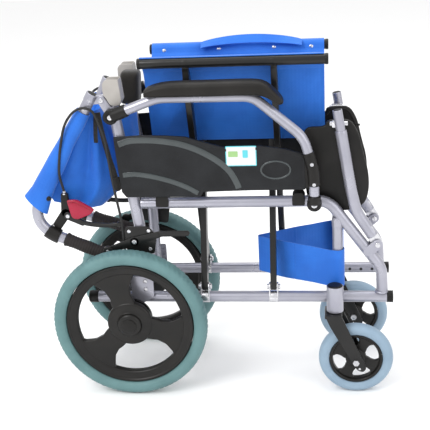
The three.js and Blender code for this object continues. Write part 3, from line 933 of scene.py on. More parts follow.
    def rear_upright(self) -> None:
        """Rear upright, axle plate, hinge cheeks, and the bolts in the hinge and the axle plate."""
        post = tube(bent_path(in_plane(self.rear_corners, RAIL_W), [16], 10), TUBE_R, step=8)
        plate = slab(rounded(self.axle_plate, 5), 82.5, 85.9, 0.7)
        spacer = slab(rounded([(16, 204), (35, 204), (35, 240), (16, 240)], 3), 78, 82.6, 0.5)
        cheeks = [link(tuple(BACK_PIVOT), (-12, 576), 8, 9, w0, w1)
                  for w0, w1 in ((60.3, 64.8), (77.2, 81.6))]
        self.put("rear_upright_tube", joined([post, plate, spacer] + cheeks), FRAME_PAINT,
                 node="rear_upright")
        px, pz = BACK_PIVOT
        heads = [bolt(px, pz, 81.6, 4.6, 2.4), bolt(-12, 577, 81.6, 3.4, 2.0), bolt(30, 214, 85.8, 4.2, 2.2),
                 bolt(30, 231, 85.8, 4.2, 2.2)]
        shaft = cross_bar(px, pz, 3.9, 61, 80.6, 0.5, 24)
        self.put("hinge_bolts", joined(heads + [shaft]), ZINC)

    def locks(self) -> None:
        """Wheel lock's plate with its bolts, brake drum with its axle, and the arm tube's socket."""
        self.put("lock_plate", slab(rounded(self.lock_plate, 7), 83.1, 86.5, 0.8), BLACK_STEEL,
                 node="wheel_lock_plate")
        self.put("lock_bolts", joined([bolt(x, z, 86.4, 3.6, 0.6) for x, z in self.lock_bolts]), ZINC)
        drum = turned(self.drum_profile, 0, WHEEL_R, 64, closed=False)
        axle = [cross_bar(0, WHEEL_R, 5.9, 90, 137.6), hex_head(0, WHEEL_R, 134.0, 137.4, 8.2)]
        self.put("brake_drum_shell", joined([drum] + axle), BLACK_STEEL, node="brake_drum")
        profile = [(3, 82.8), (11.5, 82.8), (13.8, 85), (13.8, 101), (11, 103.8), (3, 103.8)]
        foot = rounded([(356, 398), (381, 398), (381, 384), (356, 384)], 5)
        socket = [turned(profile, 368, 395, 48, closed=False),
                  bar((368.5, 100, 396), (368.5, 100, 412), 12.0, 1.6), slab(foot, 83, 88, 1.2)]
        self.put("arm_socket_clamp", joined(socket), BLACK_PLASTIC, node="arm_socket")
        self.put("arm_socket_screw", bolt(368, 395, 103.6, 6.0, 2.0), ZINC)

    def cane_lock(self) -> None:
        """Grey cup that takes the raised cane: two walls, a front and a floor."""
        outline = rounded(self.cup_outline, 4)
        walls = [slab(outline, 56.1, 58.9, 0.8), slab(outline, 83.1, 85.9, 0.8)]
        front = rounded([(8.3, 591), (9.4, 591), (13.4, 600), (9.6, 639), (8.3, 639)], 1)
        floor = rounded([(-8, 590.9), (9, 590.9), (11, 598.7), (-12, 598.7)], 2)
        inner = [slab(front, 58.4, 83.6, 0.3), slab(floor, 58.4, 64.6, 0.4), slab(floor, 77.4, 83.6, 0.4)]
        self.put("cane_cup", joined(walls + inner), GREY_NYLON, node="cane_lock")

    def rail_hole_shade(self) -> None:
        """Three drilled holes in the rail's front stretch, drawn as shallow discs of painted shade on its
        inner face.
        """
        w = RAIL_W - TUBE_R + 0.25
        profile = [(0.1, w - 0.35), (3.0, w - 0.35), (3.3, w + 0.3), (0.1, w + 0.4)]
        discs = [turned(profile, x, LOWER_Z + 0.5, 20, closed=False) for x in (437, 460, 483)]
        self.put("rail_hole_shade", joined(discs), HOLE_SHADE_PAINT)

    def make(self) -> None:
        """Build the whole side frame."""
        self.lower_rail()
        self.upper_rail()
        self.rear_upright()
        self.locks()
        self.cane_lock()
        self.rail_hole_shade()


# ---------------------------------------------------------------- wheels


def spoke(centre: tuple, heading: float, radii: tuple, table: tuple, w: float, thick: tuple,
          steps: int = 26) -> Shape:
    """A wheel spoke that is waisted between hub and rim, with a raised lip along both edges.

    Args:
        centre: the wheel's centre in x and z.
        heading: direction of the spoke's middle, in radians.
        radii: where the spoke starts and ends.
        table: radii, and the spoke's half angle in degrees at each.
        w: the wheel's middle plane.
        thick: half thickness at the middle and the lip's extra.
        steps: rings along the spoke.

    Returns:
        For radius r and section point (a, b): the point at heading + a times the half angle, and
        w + b (thickness + lip a^6).
    """
    section = superellipse(36, 5.0, 1.0, 1.0)
    r = np.linspace(*radii, steps)[:, None]
    half = np.radians(np.interp(r, table[0], table[1]))
    t = heading + section[None, :, 0] * half
    across = w + section[None, :, 1] * (thick[0] + thick[1] * section[None, :, 0] ** 6)
    points = np.stack([centre[0] + r * np.cos(t), np.broadcast_to(across, t.shape),
                       centre[1] + r * np.sin(t)], -1)
    flat = points.reshape(-1, 3)
    return Shape(flat, capped_faces(steps, len(section)), flat[:, [0, 2]].copy())


@dataclass
class RearWheel(SidePart):
    """A fixed rear wheel: solid tyre with a block tread, and a three-spoke moulded rim."""

    part: str = "rear_wheel"
    radius: float = WHEEL_R
    w: float = 116.0
    blocks: int = 84
    spoke_headings: tuple = (105, 225, 345)
    tyre_outline: tuple = ((128.4, -12), (134, -17.5), (144, -19.8), (152, -14.5), (155, -6), (155, 6),
                           (152, 14.5), (144, 19.8), (134, 17.5), (128.4, 12))
    ring_profile: tuple = ((127.8, -12.5), (124, -13), (121.5, -10.5), (110, -8.5), (106.5, -6), (106.5, 6),
                           (110, 8.5), (121.5, 10.5), (124, 13), (127.8, 12.5))
    hub_profile: tuple = ((7, -18.5), (19, -18.5), (23, -16), (24.5, -10), (33, -8.6), (42, -8), (46, -5),
                          (46, 5), (42, 8), (33, 8.6), (25, 10), (24, 15), (20, 18), (7, 18.3))

    def tyre(self) -> Shape:
        """The tyre: its outline turned round the axle, grooved where sin(blocks t + skew w) is low.

        Returns:
            The tyre, with smooth sides and a groove round the tread's middle.
        """
        outline = rounded(self.tyre_outline, 5, 6)
        across = outline[:, 1]
        per_block = 6
        t = np.arange(self.blocks * per_block) * 2 * pi / (self.blocks * per_block)
        crown = np.clip((outline[:, 0] - 150.5) / 2.5, 0, 1)[:, None]
        skew = 0.16 * np.abs(across)[:, None]
        groove = 0.5 - 0.5 * np.tanh(4 * (np.sin(self.blocks * t[None] + skew) + 0.45))
        middle = np.exp(-((across[:, None] / 1.3) ** 2))
        depth = -1.1 * crown * np.maximum(groove, middle)
        profile = outline + np.array([0, self.w])
        return turned(profile, 0, self.radius, len(t), swell=depth)

    def rim(self) -> Shape:
        """The rim: a ring with raised side flanges, a stepped hub and three spokes.

        Returns:
            The rim, as one moulding.
        """
        w = self.w
        ring, hub = (rounded(profile, 2, 4) + np.array([0, w])
                     for profile in (self.ring_profile, self.hub_profile))
        parts = [turned(ring, 0, self.radius, 120), turned(hub, 0, self.radius, 96)]
        table = ((40, 46, 64, 82, 104, 112), (34, 30, 19.5, 18.5, 23, 27))
        parts += [spoke((0, self.radius), radians(a), (40, 112), table, w, (6.2, 2.0))
                  for a in self.spoke_headings]
        return joined(parts)

    def make(self) -> None:
        """Build the wheel."""
        self.put("rear_tyre_tread", self.tyre(), REAR_RUBBER, node="rear_tyre", crease=30)
        self.put("rear_rim_moulding", self.rim(), RIM_NYLON, node="rear_rim")
        dome = [(15, self.w + 17.6), (14.8, self.w + 19.5), (12.5, self.w + 20.8), (7, self.w + 21.6),
                (0.1, self.w + 21.9)]
        self.put("hub_cap", turned(dome, 0, self.radius, 48, closed=False), BLACK_PLASTIC)


@dataclass
class Caster(SidePart):
    """A swivelling front caster: fork, axle bolt, tyre and four-spoke rim."""

    part: str = "caster_swivel"
    swivel_x: float = 405.0
    x: float = 445.0
    w: float = 100.0
    radius: float = 73.0
    leg_offset: float = 22.5
    leg_half: float = 1.9
    tyre_outline: tuple = ((52.3, -10), (57, -12.8), (65, -13.8), (70.6, -10), (73, -3.6), (73, 3.6),
                           (70.6, 10), (65, 13.8), (57, 12.8), (52.3, 10))
    ring_profile: tuple = ((51.9, -10.2), (48.4, -10.4), (46, -8), (44.8, -4), (44.8, 4), (46, 8),
                           (48.4, 10.4), (51.9, 10.2))
    hub_profile: tuple = ((5.6, -16.8), (10.5, -16.8), (12.6, -14), (13.6, -9), (19, -7.4), (20.5, -5),
                          (20.5, 5), (19, 7.4), (13.6, 9), (12.6, 14), (10.5, 16.8), (5.6, 16.8))

    def fork(self) -> None:
        """Two pressed legs with a folded crown, the bearing ring, and the bolts in its lower end."""
        x, s, r, w = self.x, self.swivel_x, self.radius, self.w
        outline = rounded([(s - 20, 173.6), (s + 12, 173.6), (x + 12, r + 8), (x + 21, r - 13),
                           (x + 14, r - 22), (x + 2, r - 18), (x - 10, r + 4), (s - 8, 146)], 9, 7)
        legs = [slab(outline, w + k * self.leg_offset - self.leg_half,
                     w + k * self.leg_offset + self.leg_half, 0.9) for k in (-1, 1)]
        crown = slab(rounded([(s - 20, 166.3), (s + 13.5, 166.3), (s + 13.5, 173.8), (s - 20, 173.8)], 3),
                     w - 24.3, w + 24.3, 2.5)
        axle = cross_bar(x, r, 4.9, w - 26, w + 26)
        self.put("fork", joined(legs + [crown, axle]), BLACK_STEEL, node="caster_fork")
        bolts = [hex_head(x, r, w + k * 24.4, w + k * 28.6, 6.6) for k in (-1, 1)]
        bolts += [bolt(x + 1, r, w + 28.4, 4.2, 1.8), bolt(x + 7, r - 14, w + 24.3, 2.6, 1.0)]
        ring = bar((s, w, 173.6), (s, w, 175.4), 12.8, 0.5)
        self.put("fork_bolts", joined(bolts + [ring]), ZINC)

    def wheel(self) -> None:
        """Tyre and rim, turned round the caster's axle, and four waisted spokes."""
        x, r, w = self.x, self.radius, self.w
        outline = rounded(self.tyre_outline, 3.6, 6) + np.array([0, w])
        ring, hub = (rounded(profile, 1.6, 4) + np.array([0, w])
                     for profile in (self.ring_profile, self.hub_profile))
        table = ((17, 22, 30, 38, 46), (38, 30, 19, 17, 24))
        spokes = [spoke((x, r), 0.3 + pi / 4 + k * pi / 2, (17, 47), table, w, (5.0, 1.4), 16)
                  for k in range(4)]
        self.put("caster_tread", turned(outline, x, r, 120), CASTER_RUBBER, part="caster_wheel",
                 node="caster_tyre", crease=45)
        self.put("caster_rim_moulding", joined([turned(ring, x, r, 96), turned(hub, x, r, 64)] + spokes),
                 RIM_NYLON, part="caster_wheel", node="caster_rim")

    def make(self) -> None:
        """Build the caster."""
        self.fork()
        self.wheel()


# ---------------------------------------------------------------- backrest cane and its brake gear


@dataclass
class BackCane(SidePart):
    """One folding backrest cane with grip, brake bracket, lever, parking lock and cable."""

    part: str = "cane"
    top: tuple = CANE_TOP
    corner: tuple = (-202.8, 349.7)
    grip_start: tuple = (-127.0, 317.8)
    grip_end: tuple = (-46.0, 283.7)
    bend: float = 74.0
    lever_blade: tuple = ((-92, 74, 354), (-70, 74, 349.5), (-50, 74, 347.5), (-30, 74, 347.2),
                          (-14, 74, 349.5))
    park_outline: tuple = ((-114, 403), (-94, 404), (-80, 396), (-60, 383), (-68, 373), (-96, 362),
                           (-107, 366))
    park_ridge: tuple = ((-112, 83.2, 401), (-96, 84.0, 402), (-80, 84.0, 394), (-61, 83.2, 382))
    cable_carried: tuple = ((-121, 416, 66), (-122, 434, 73), (-121, 455, 85), (-119, 475, 87),
                            (-113, 510, 87), (-101, 552, 87))
    cable_fixed: tuple = ((-84, 577, 87), (-66, 587, 87), (-50, 585, 87), (-40, 574, 86), (-31, 548, 86),
                          (-25, 520, 84), (-21, 470, 83), (-15, 415, 83), (-8, 360, 82.5), (-6, 300, 81),
                          (-8, 250, 80), (-8, 215, 85), (-4, 199, 91))

    def put(self, name: str, shape: Shape, finish: Finish, part: str = "", node: str = "",
            crease: float = 38.0) -> bpy.types.Object:
        """Build one of the cane's pieces, leaned with it."""
        return super().put(name, shape.leaned(self.side.lean), finish, part, node, crease)

    def tube(self) -> None:
        """The bent tube with a disc of painted shade in its open end, hinge lug and two cross bolts."""
        path = bent_path(in_plane((self.top, self.corner, self.grip_start), RAIL_W), [self.bend], 24)
        start = np.array([self.top[0], RAIL_W, self.top[1]])
        heading = unit(start - path[1])
        ring = tube(np.array([start - heading * 16, start + heading * 0.2]), TUBE_R + 0.9, 0.8, 20)
        lug = link(tuple(BACK_PIVOT), (self.top[0] - 7.3, self.top[1] - 12), 8, 8.5, 66.2, 75.8)
        self.put("cane_tube", joined([tube(path, TUBE_R, step=6), ring, lug]), FRAME_PAINT, node="back_cane")
        # Painted shade: a thin near-black disc just inside the tube's top end stands in for the shadowed
        # inside of the open tube.
        mouth = tube(np.array([start - heading * 1.0, start + heading * 0.45]), 9.6, 0.2, 20)
        self.put("cane_mouth_shade", mouth, HOLE_SHADE_PAINT)
        bolts = [bolt(-50, 600, 81.5, 3.4, 1.3), bolt(-62, 583, 81.5, 2.8, 1.3)]
        self.put("cane_bolts", joined(bolts), ZINC)

    def grip(self) -> None:
        """Rubber grip: radius 12.6 plus finger ridges, with a flange at each end."""
        a = np.array([self.grip_start[0], RAIL_W, self.grip_start[1]])
        b = np.array([self.grip_end[0], RAIL_W, self.grip_end[1]])
        s = np.linspace(0, 1, 150)
        along = s * np.linalg.norm(b - a)
        ridge = np.abs(np.sin(pi * along / 5.2)) ** 0.6
        hand = 0.5 - 0.5 * np.cos(4 * pi * s)
        radius = 12.3 + 0.9 * ridge - 0.8 * hand
        flange = np.exp(-((along - 3.2) / 2.6) ** 4) + np.exp(-((along[-1] - along - 3.0) / 2.8) ** 4)
        end = np.sqrt(np.clip(np.minimum(along, along[-1] - along) / 2.2, 0.02, 1))
        radius = (radius * (1 - flange) + 14.0 * flange) * np.minimum(end + 0.35, 1)
        self.put("hand_grip", sweep(a + (b - a) * s[:, None], radius, sides=32), GRIP_RUBBER,
                 node="push_grip")

    def brake_gear(self) -> None:
        """Clamp and arm, cable adjuster, squeeze lever and red parking lock."""
        path = bent_path(in_plane((self.top, self.corner, self.grip_start), RAIL_W), [self.bend], 24)
        total = lengths(path)[-1]
        clamp = tube(resample(path, np.linspace(total - 40, total - 12, 6)), 14.8, 1.6, 5)
        arm = [link((-145, 340), (-121, 372), 9.5, 10, 61.6, 70.1, 1.5),
               link((-121, 372), (-121, 408), 10, 7, 61.6, 70.1, 1.5),
               link((-118, 366), (-106, 360), 9, 7, 62.5, 69.5, 1.5)]
        self.put("brake_clamp", joined([clamp] + arm), BLACK_PLASTIC, node="brake_bracket")
        screw = [bar((-121, 66, 406), (-121, 66, 417), 3.6, 0.8),
                 bar((-121, 66, 410), (-121, 66, 413), 4.8, 0.6), bolt(-116, 368, 77.0, 4.2, 1.6),
                 bolt(-150, 345, 70.1, 3.0, 1.4)]
        self.put("cable_adjuster", joined(screw), ZINC)
        root = link((-116, 368), (-88, 352.5), 8, 5.6, 70.7, 76.9, 1.6)
        blade = smooth_path(self.lever_blade, 40)
        finger = tube(blade, 1.0, 2.0, 3.0, section=superellipse(20, 2.6, 3.4, 4.6))
        profile = [(0.1, 69.2), (4.2, 69.8), (5.4, 72), (5.4, 76), (4.2, 78.2), (0.1, 78.8)]
        knob = turned(profile, -14.5, 349.6, 28, closed=False)
        self.put("squeeze_lever", joined([root, finger, knob]), BLACK_STEEL, part="lever", node="brake_lever")
        outline = rounded(self.park_outline, 6, 6)
        red = [slab(outline, 77.5, 82.3, 1.6, crown=1.6), tube(smooth_path(self.park_ridge, 30), 2.6, 1.5, 3)]
        self.put("park_lock", joined(red), RED_PLASTIC, part="park", node="parking_lock")

    def cable(self) -> None:
        """Brake cable along its clips, from the cane down to the frame, with a ferrule at its lower end."""
        carried = np.array(self.cable_carried, float)[:, [0, 2, 1]]
        moved = Shape(carried, [], carried[:, :2]).leaned(self.side.lean).points
        fixed = np.array(self.cable_fixed, float)[:, [0, 2, 1]]
        path = smooth_path(np.vstack([moved, fixed]).tolist(), 220)
        word = self.side.word
        piece = build(f"{word}_cable", sweep(path, 2.5, sides=14), self.side, CABLE_JACKET,
                      nodes=(f"{word}_brake_cable",), crease=60)
        ends = self.side.place(np.array([[-30.0, 87, 580], [-104.0, 87, 580]]))
        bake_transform(piece)
        ferrule = bar(tuple(fixed[-2] * 0.5 + fixed[-1] * 0.5), tuple(fixed[-1]), 3.4, 0.6)
        super().put("cable_ferrule", ferrule, ZINC, part="frame")

    def make(self) -> None:
        """Build the cane and everything on it."""
        self.tube()
        self.grip()
        self.brake_gear()
        self.cable()


# ---------------------------------------------------------------- armrest


def closed_pair(front: np.ndarray, back: np.ndarray) -> Shape:
    """Two matching grids as one closed plate, the rim joined by quads; the pattern follows x and z."""
    points = np.vstack([front.reshape(-1, 3), back.reshape(-1, 3)])
    return Shape(points, double_faces(*front.shape[:2]), points[:, [0, 2]].copy())


@dataclass
class Armrest(SidePart):
    """The flip-up armrest: bent tube, knuckle, padded rest and side panel."""

    part: str = "armrest"
    w: float = 100.0
    tube_r: float = 9.5
    corners: tuple = ((8, 579), (84, 606.5), (259, 605.5), (350, 527), (368.5, 460), (368.5, 412.5))
    bends: tuple = (14, 18, 20, 18)
    pad_w: float = 103.5
    pad_half: float = 20.3
    pad_top: tuple = ((62, 619), (68, 628), (104, 636.5), (180, 637.6), (258, 637.4), (284, 632), (303, 616),
                      (319.5, 598))
    pad_bottom: tuple = ((62, 613), (68, 610.8), (104, 610), (180, 609.6), (258, 609.8), (277, 607.5),
                         (292, 601), (309.5, 587))
    panel_bottom: tuple = ((-7.5, 522), (-4, 470), (0, 421), (8, 410), (152, 409.5), (158, 419), (250, 421),
                           (350, 421), (357, 428))
    panel_top: tuple = ((-7.5, 530), (44, 532.6), (91, 531.5), (129, 528.5), (157, 519.5), (203, 506),
                        (232, 505.6), (269, 508.5), (315, 501.5), (342, 493.5), (357, 486))
    upper_band: tuple = ((1, 516), (22, 522.5), (52, 523.5), (84, 521), (122, 513.5), (156, 500), (186, 482),
                         (209, 461), (222, 438), (226, 426))
    knuckle_profile: tuple = ((3, 84.7), (12, 84.7), (14, 87), (14, 101.5), (12, 103.8), (8.5, 103.9),
                              (7.6, 102.6), (0.1, 102.6))
    lower_band: tuple = ((5, 455), (29, 456.5), (58, 452), (92, 443), (123, 431), (148, 417))

    def frame_tube(self) -> None:
        """Bent tube, black knuckle with its screw, the collar and the clamp that holds the panel."""
        path = bent_path(in_plane(self.corners, self.w), self.bends, 12)
        self.put("arm_tube_bent", tube(path, self.tube_r, step=7), FRAME_PAINT, node="arm_tube")
        knuckle = [turned(self.knuckle_profile, -7, 572, 56, closed=False),
                   tube(np.array([(-4, 97, 573.5), (25, 100, 585.2)]), 12.0, 2.0, 6)]
        total = lengths(path)[-1]
        foot = tube(resample(path, np.linspace(total - 86, total - 20, 14)), 11.6, 1.8, 5)
        strip = slab(rounded([(352, 424), (372, 424), (368, 490), (350, 494)], 5), 84.6, 92, 1.5)
        self.put("arm_knuckle", joined(knuckle + [foot, strip]), BLACK_PLASTIC)
        screws = [bolt(-7, 572, 102.6, 5.2, 1.6), bolt(365, 477, 111.2, 3.6, 1.6),
                  bolt(368.5, 438, 111.4, 3.6, 1.6)]
        self.put("arm_screws", joined(screws), ZINC)

    def pad(self) -> None:
        """Foam rest: between its top and bottom curves, a section that is crowned and pulls in at both ends.

        Each point is middle + b half height, across w + a half width, for (a, b) on a superellipse.
        """
        n = 90
        lines = (self.pad_top, self.pad_bottom)
        top, bottom = (smooth_path([(x, 0, z) for x, z in line], n) for line in lines)
        t = np.linspace(-1, 1, n)
        pull = np.sqrt(np.clip(1 - np.abs(t) ** 14, 0.05, 1))
        section = superellipse(48, 3.0, 1.0, 1.0)
        seam = 1 - 0.035 * np.exp(-((section[:, 1] + 0.25) / 0.07) ** 2)
        middle, half = (top + bottom) / 2, (top - bottom) / 2 * pull[:, None]
        points = middle[:, None] + section[None, :, 1:] * seam[None, :, None] * half[:, None]
        points[..., 1] = self.pad_w + section[None, :, 0] * seam[None] * (self.pad_half * pull)[:, None]
        faces = capped_faces(n, len(section))
        flat = points.reshape(-1, 3)
        piece = self.put("arm_rest_pad", Shape(flat, faces, flat[:, :2].copy()), PAD_SKIN, node="arm_pad",
                         crease=50)

    def panel(self) -> None:
        """Moulded side panel: an outer face with rolled edges, a raised border and an oval finger recess."""
        n, m = 190, 60
        x = np.linspace(-7.5, 357, n)[:, None]
        low = np.interp(x, *np.array(self.panel_bottom).T)
        high = np.interp(x, *np.array(self.panel_top).T)
        share = (0.5 - 0.5 * np.cos(np.linspace(0, pi, m)))[None]
        z = low + (high - low) * share
        x = np.broadcast_to(x, z.shape)
        gap = np.minimum(np.minimum(z - low, high - z), np.minimum(x + 7.5, 357 - x))
        edge = np.clip(gap / 3.0, 0, 1)
        roll = 1.7 * (1 - np.sqrt(np.clip(1 - (1 - edge) ** 2, 0, 1)))
        border = 0.9 * np.clip((9 - gap) / 2, 0, 1)
        oval = ((x - 297) / 25) ** 2 + ((z - 461) / 15) ** 2
        recess = 2.6 * np.clip(1.25 - oval, 0, 1) ** 0.5 * (oval < 1.25)
        outer = np.stack([x, 89.2 + border - roll - recess, z], axis=-1)
        inner = np.stack([x, np.full_like(z, 84.6) + 0.5 * roll, z], axis=-1)
        self.put("panel_moulding", closed_pair(outer, inner), PANEL_GRAIN, node="side_panel", crease=50)
        bands = []
        for band, wide in ((self.upper_band, 6.0), (self.lower_band, 5.0)):
            line = smooth_path([(a, 89.4, b) for a, b in band], 90)
            bands.append(tube(line, 1.0, 3.0, 4.0, section=superellipse(24, 3.0, 1.3, wide)))
        ring_t = np.linspace(0, 2 * pi, 73)[:-1]
        ring = np.stack([297 + 27.5 * np.cos(ring_t), np.full(72, 89.4), 461 + 17 * np.sin(ring_t)], axis=1)
        bands.append(sweep(ring, 1.0, section=superellipse(12, 2, 0.9, 1.8), closed=True))
        self.put("panel_bands", joined(bands), PANEL_GLOSS)
        self.label()

    def label(self) -> None:
        """A plain sticker: white card with a thin cyan border and two blank colour blocks."""
        front = rounded([(204, 470), (262, 470), (262, 509), (204, 509)], 2, 4)
        self.put("label_border", slab(front, 89.3, 90.0, 0.2), LABEL_CYAN)
        self.put("label_card", slab(inset(front, 1.6), 89.9, 90.25, 0.1), LABEL_WHITE)
        green = rounded([(209, 488), (227, 488), (227, 499), (209, 499)], 1.5, 3)
        cyan = rounded([(236, 486), (246, 486), (246, 501), (236, 501)], 1.5, 3)
        self.put("label_block_green", slab(green, 90.2, 90.4, 0.05), LABEL_GREEN)
        self.put("label_block_cyan", slab(cyan, 90.2, 90.4, 0.05), LABEL_CYAN)

    def make(self) -> None:
        """Build the armrest."""
        self.frame_tube()
        self.pad()
        self.panel()


# ---------------------------------------------------------------- footrest


@dataclass
class Footrest(SidePart):
    """A swung-up footrest: hanger tube with its clevis, and the plate that flips on it."""

    part: str = "footrest"
    pivot: tuple = HANGER_PIVOT
    corners: tuple = ((478, 320), (446, 371), (436, 420), (412, 569))
    bends: tuple = (16, 14)
    neck_z: float = 530.0
    neck_r: float = 9.0
    flip: tuple = (51.0, 541.0)
    plate_outline: tuple = ((350, 533), (390, 533), (392, 545), (436, 547), (452, 520), (460, 482),
                            (470, 445), (472, 412), (466, 383), (450, 370), (421, 364), (366, 378),
                            (354, 390), (347, 450))

    def hanger(self) -> None:
        """Hanger tube, its narrower neck with a disc of painted shade in its open end, the clevis and the
        plate's hinge rod.
        """
        path = bent_path(in_plane(self.corners, RAIL_W), self.bends, 14)
        total = lengths(path)[-1]
        neck = (569 - self.neck_z) * 1.02
        stem = tube(resample(path, np.linspace(0, total - neck, 60)), TUBE_R, 2.0, 7)
        top = tube(resample(path, np.linspace(total - neck - 6, total, 12)), self.neck_r, 0.9, 6)
        self.put("hanger_tube", joined([stem, top]), FRAME_PAINT, node="footrest_hanger")
        # Painted shade: a thin near-black disc at the neck's tip stands in for the shadowed inside of the
        # open tube.
        tip = path[-1] - unit(path[-1] - path[-2]) * np.array([[0.6], [-0.4]])
        self.put("hanger_mouth_shade", tube(tip, 7.4, 0.2, 20), HOLE_SHADE_PAINT)
        x, z = self.pivot
        clevis = [link(self.pivot, (473, 328), 10, 10, 65.3, 76.7, 1.4),
                  slab(rounded([(470, 318), (484, 326), (476, 343), (462, 336)], 4), 63.5, 78.5, 1.2),
                  cross_bar(x, z, 9.9, 65.4, 76.6)]
        w, flip_z = self.flip
        tab = rounded([(402, 535), (424, 535), (424, 547), (402, 547)], 2)
        rod = [bar((398, w + 13, flip_z), (431.5, w + 13, flip_z), 4.4, 0.8),
               slab(tab, w + 10.6, RAIL_W, 1.0)]
        self.put("hanger_clevis", joined(clevis + rod), ZINC)

    def plate(self) -> None:
        """Footplate: a thick rounded moulding with a raised rim and grip ribs on its tread."""
        w = self.flip[0]
        outline = rounded(self.plate_outline, 16, 8)
        body = slab(outline, w - 4.2, w + 4.2, 3.2, 5, crown=0.8)
        rim = inset(outline, 6)
        lip = sweep(np.stack([rim[:, 0], np.full(len(rim), w - 4.4), rim[:, 1]], 1), 1.0,
                    section=superellipse(12, 2, 1.3, 2.2), closed=True)
        ribs = [tube(np.array([(372 + 3 * k, w - 4.8, 404 + 16 * k), (450 + k, w - 4.8, 396 + 16 * k)]), 1.0,
                     2.0, 8, section=superellipse(12, 2.4, 1.1, 2.2)) for k in range(8)]
        self.put("footplate_moulding", joined([body, lip] + ribs), BLACK_PLASTIC, part="plate",
                 node="footplate")

    def make(self) -> None:
        """Build the footrest."""
        self.hanger()
        self.plate()


@dataclass
class WheelLock(SidePart):
    """The lever that presses its shoe on the tyre."""

    part: str = "lock"
    pivot: tuple = (16, 318)
    shoe: tuple = (-38, 300)
    knee: tuple = (70, 334)
    tip: tuple = (121, 335)

    def make(self) -> None:
        """Two arms about the pivot, a bent handle, and the shoe."""
        w0, w1 = 87.1, 90.4
        arms = [link(self.pivot, self.shoe, 9.6, 6, w0, w1), link(self.pivot, self.knee, 9, 6, w0, w1),
                link(self.knee, self.tip, 5.4, 5.4, w0, w1 + 2.4, 1.6),
                cross_bar(*self.shoe, 9.6, 87.2, 94.8, 2.0)]
        self.put("lock_lever", joined(arms), BLACK_STEEL, node="wheel_lock_lever")
        heads = [bolt(*self.pivot, w1, 5.0, 2.4), bolt(*self.shoe, 94.6, 3.4, 1.6)]
        self.put("lock_pivot", joined(heads), ZINC)


# ---------------------------------------------------------------- scissor brace and soft goods


@dataclass
class Brace:
    """One half of the scissor brace: two flat bars on a seat rail, worked out in plain Y."""

    sign: int
    thick: float = 12.0
    rail: tuple = (47.0, 396.0)
    rail_r: float = 9.6

    def word(self) -> str:
        """The brace's body name."""
        return "brace_a" if self.sign < 0 else "brace_b"

    def make(self) -> None:
        """Seat rail with its end plugs, two tapered bars, and their collars on the seat rail."""
        s = self.sign
        low, high = np.array([-s * RAIL_W, BRACE_FOOT_Z]), np.array([s * RAIL_W, SEAT_RAIL_Z])
        long = float(np.linalg.norm(high - low))
        d = (high - low) / long
        edge = [(4.5, -7.0), (7.6, -2), (13.6, 30), (13.6, long - 36), (6.0, long - 15), (6.0, long - 6)]
        outline = rounded(edge + [(-p, q) for p, q in reversed(edge)], 6, 5)
        parts = [bar((self.rail[0], s * RAIL_W, SEAT_RAIL_Z), (self.rail[1], s * RAIL_W, SEAT_RAIL_Z),
                     self.rail_r, 1.0, 36)]
        for x in (BRACE_STATIONS[0] + s * BRACE_OFFSET, BRACE_STATIONS[1] - s * BRACE_OFFSET):
            flat = slab(outline, -self.thick / 2 + 0.1, self.thick / 2 - 0.1, 1.6, 4)
            parts.append(flat.laid((x, low[0], low[1]), (0, d[1], -d[0]), (1, 0, 0), (0, d[0], d[1])))
            parts.append(bar((x - 5, s * RAIL_W, SEAT_RAIL_Z), (x + 5, s * RAIL_W, SEAT_RAIL_Z),
                             self.rail_r + 0.15, 1.0, 36))
        build(f"{self.word()}_bars", joined(parts), Side.LEFT, BLACK_STEEL, self.word(), (self.word(),))
        ends = [bar((x0, s * RAIL_W, SEAT_RAIL_Z), (x1, s * RAIL_W, SEAT_RAIL_Z), self.rail_r + 0.5, 1.5, 36)
                for x0, x1 in ((self.rail[0] - 1.2, self.rail[0] + 5),
                               (self.rail[1] - 5, self.rail[1] + 1.2))]
        build(f"{self.word()}_rail_plugs", joined(ends), Side.LEFT, BLACK_PLASTIC, self.word())


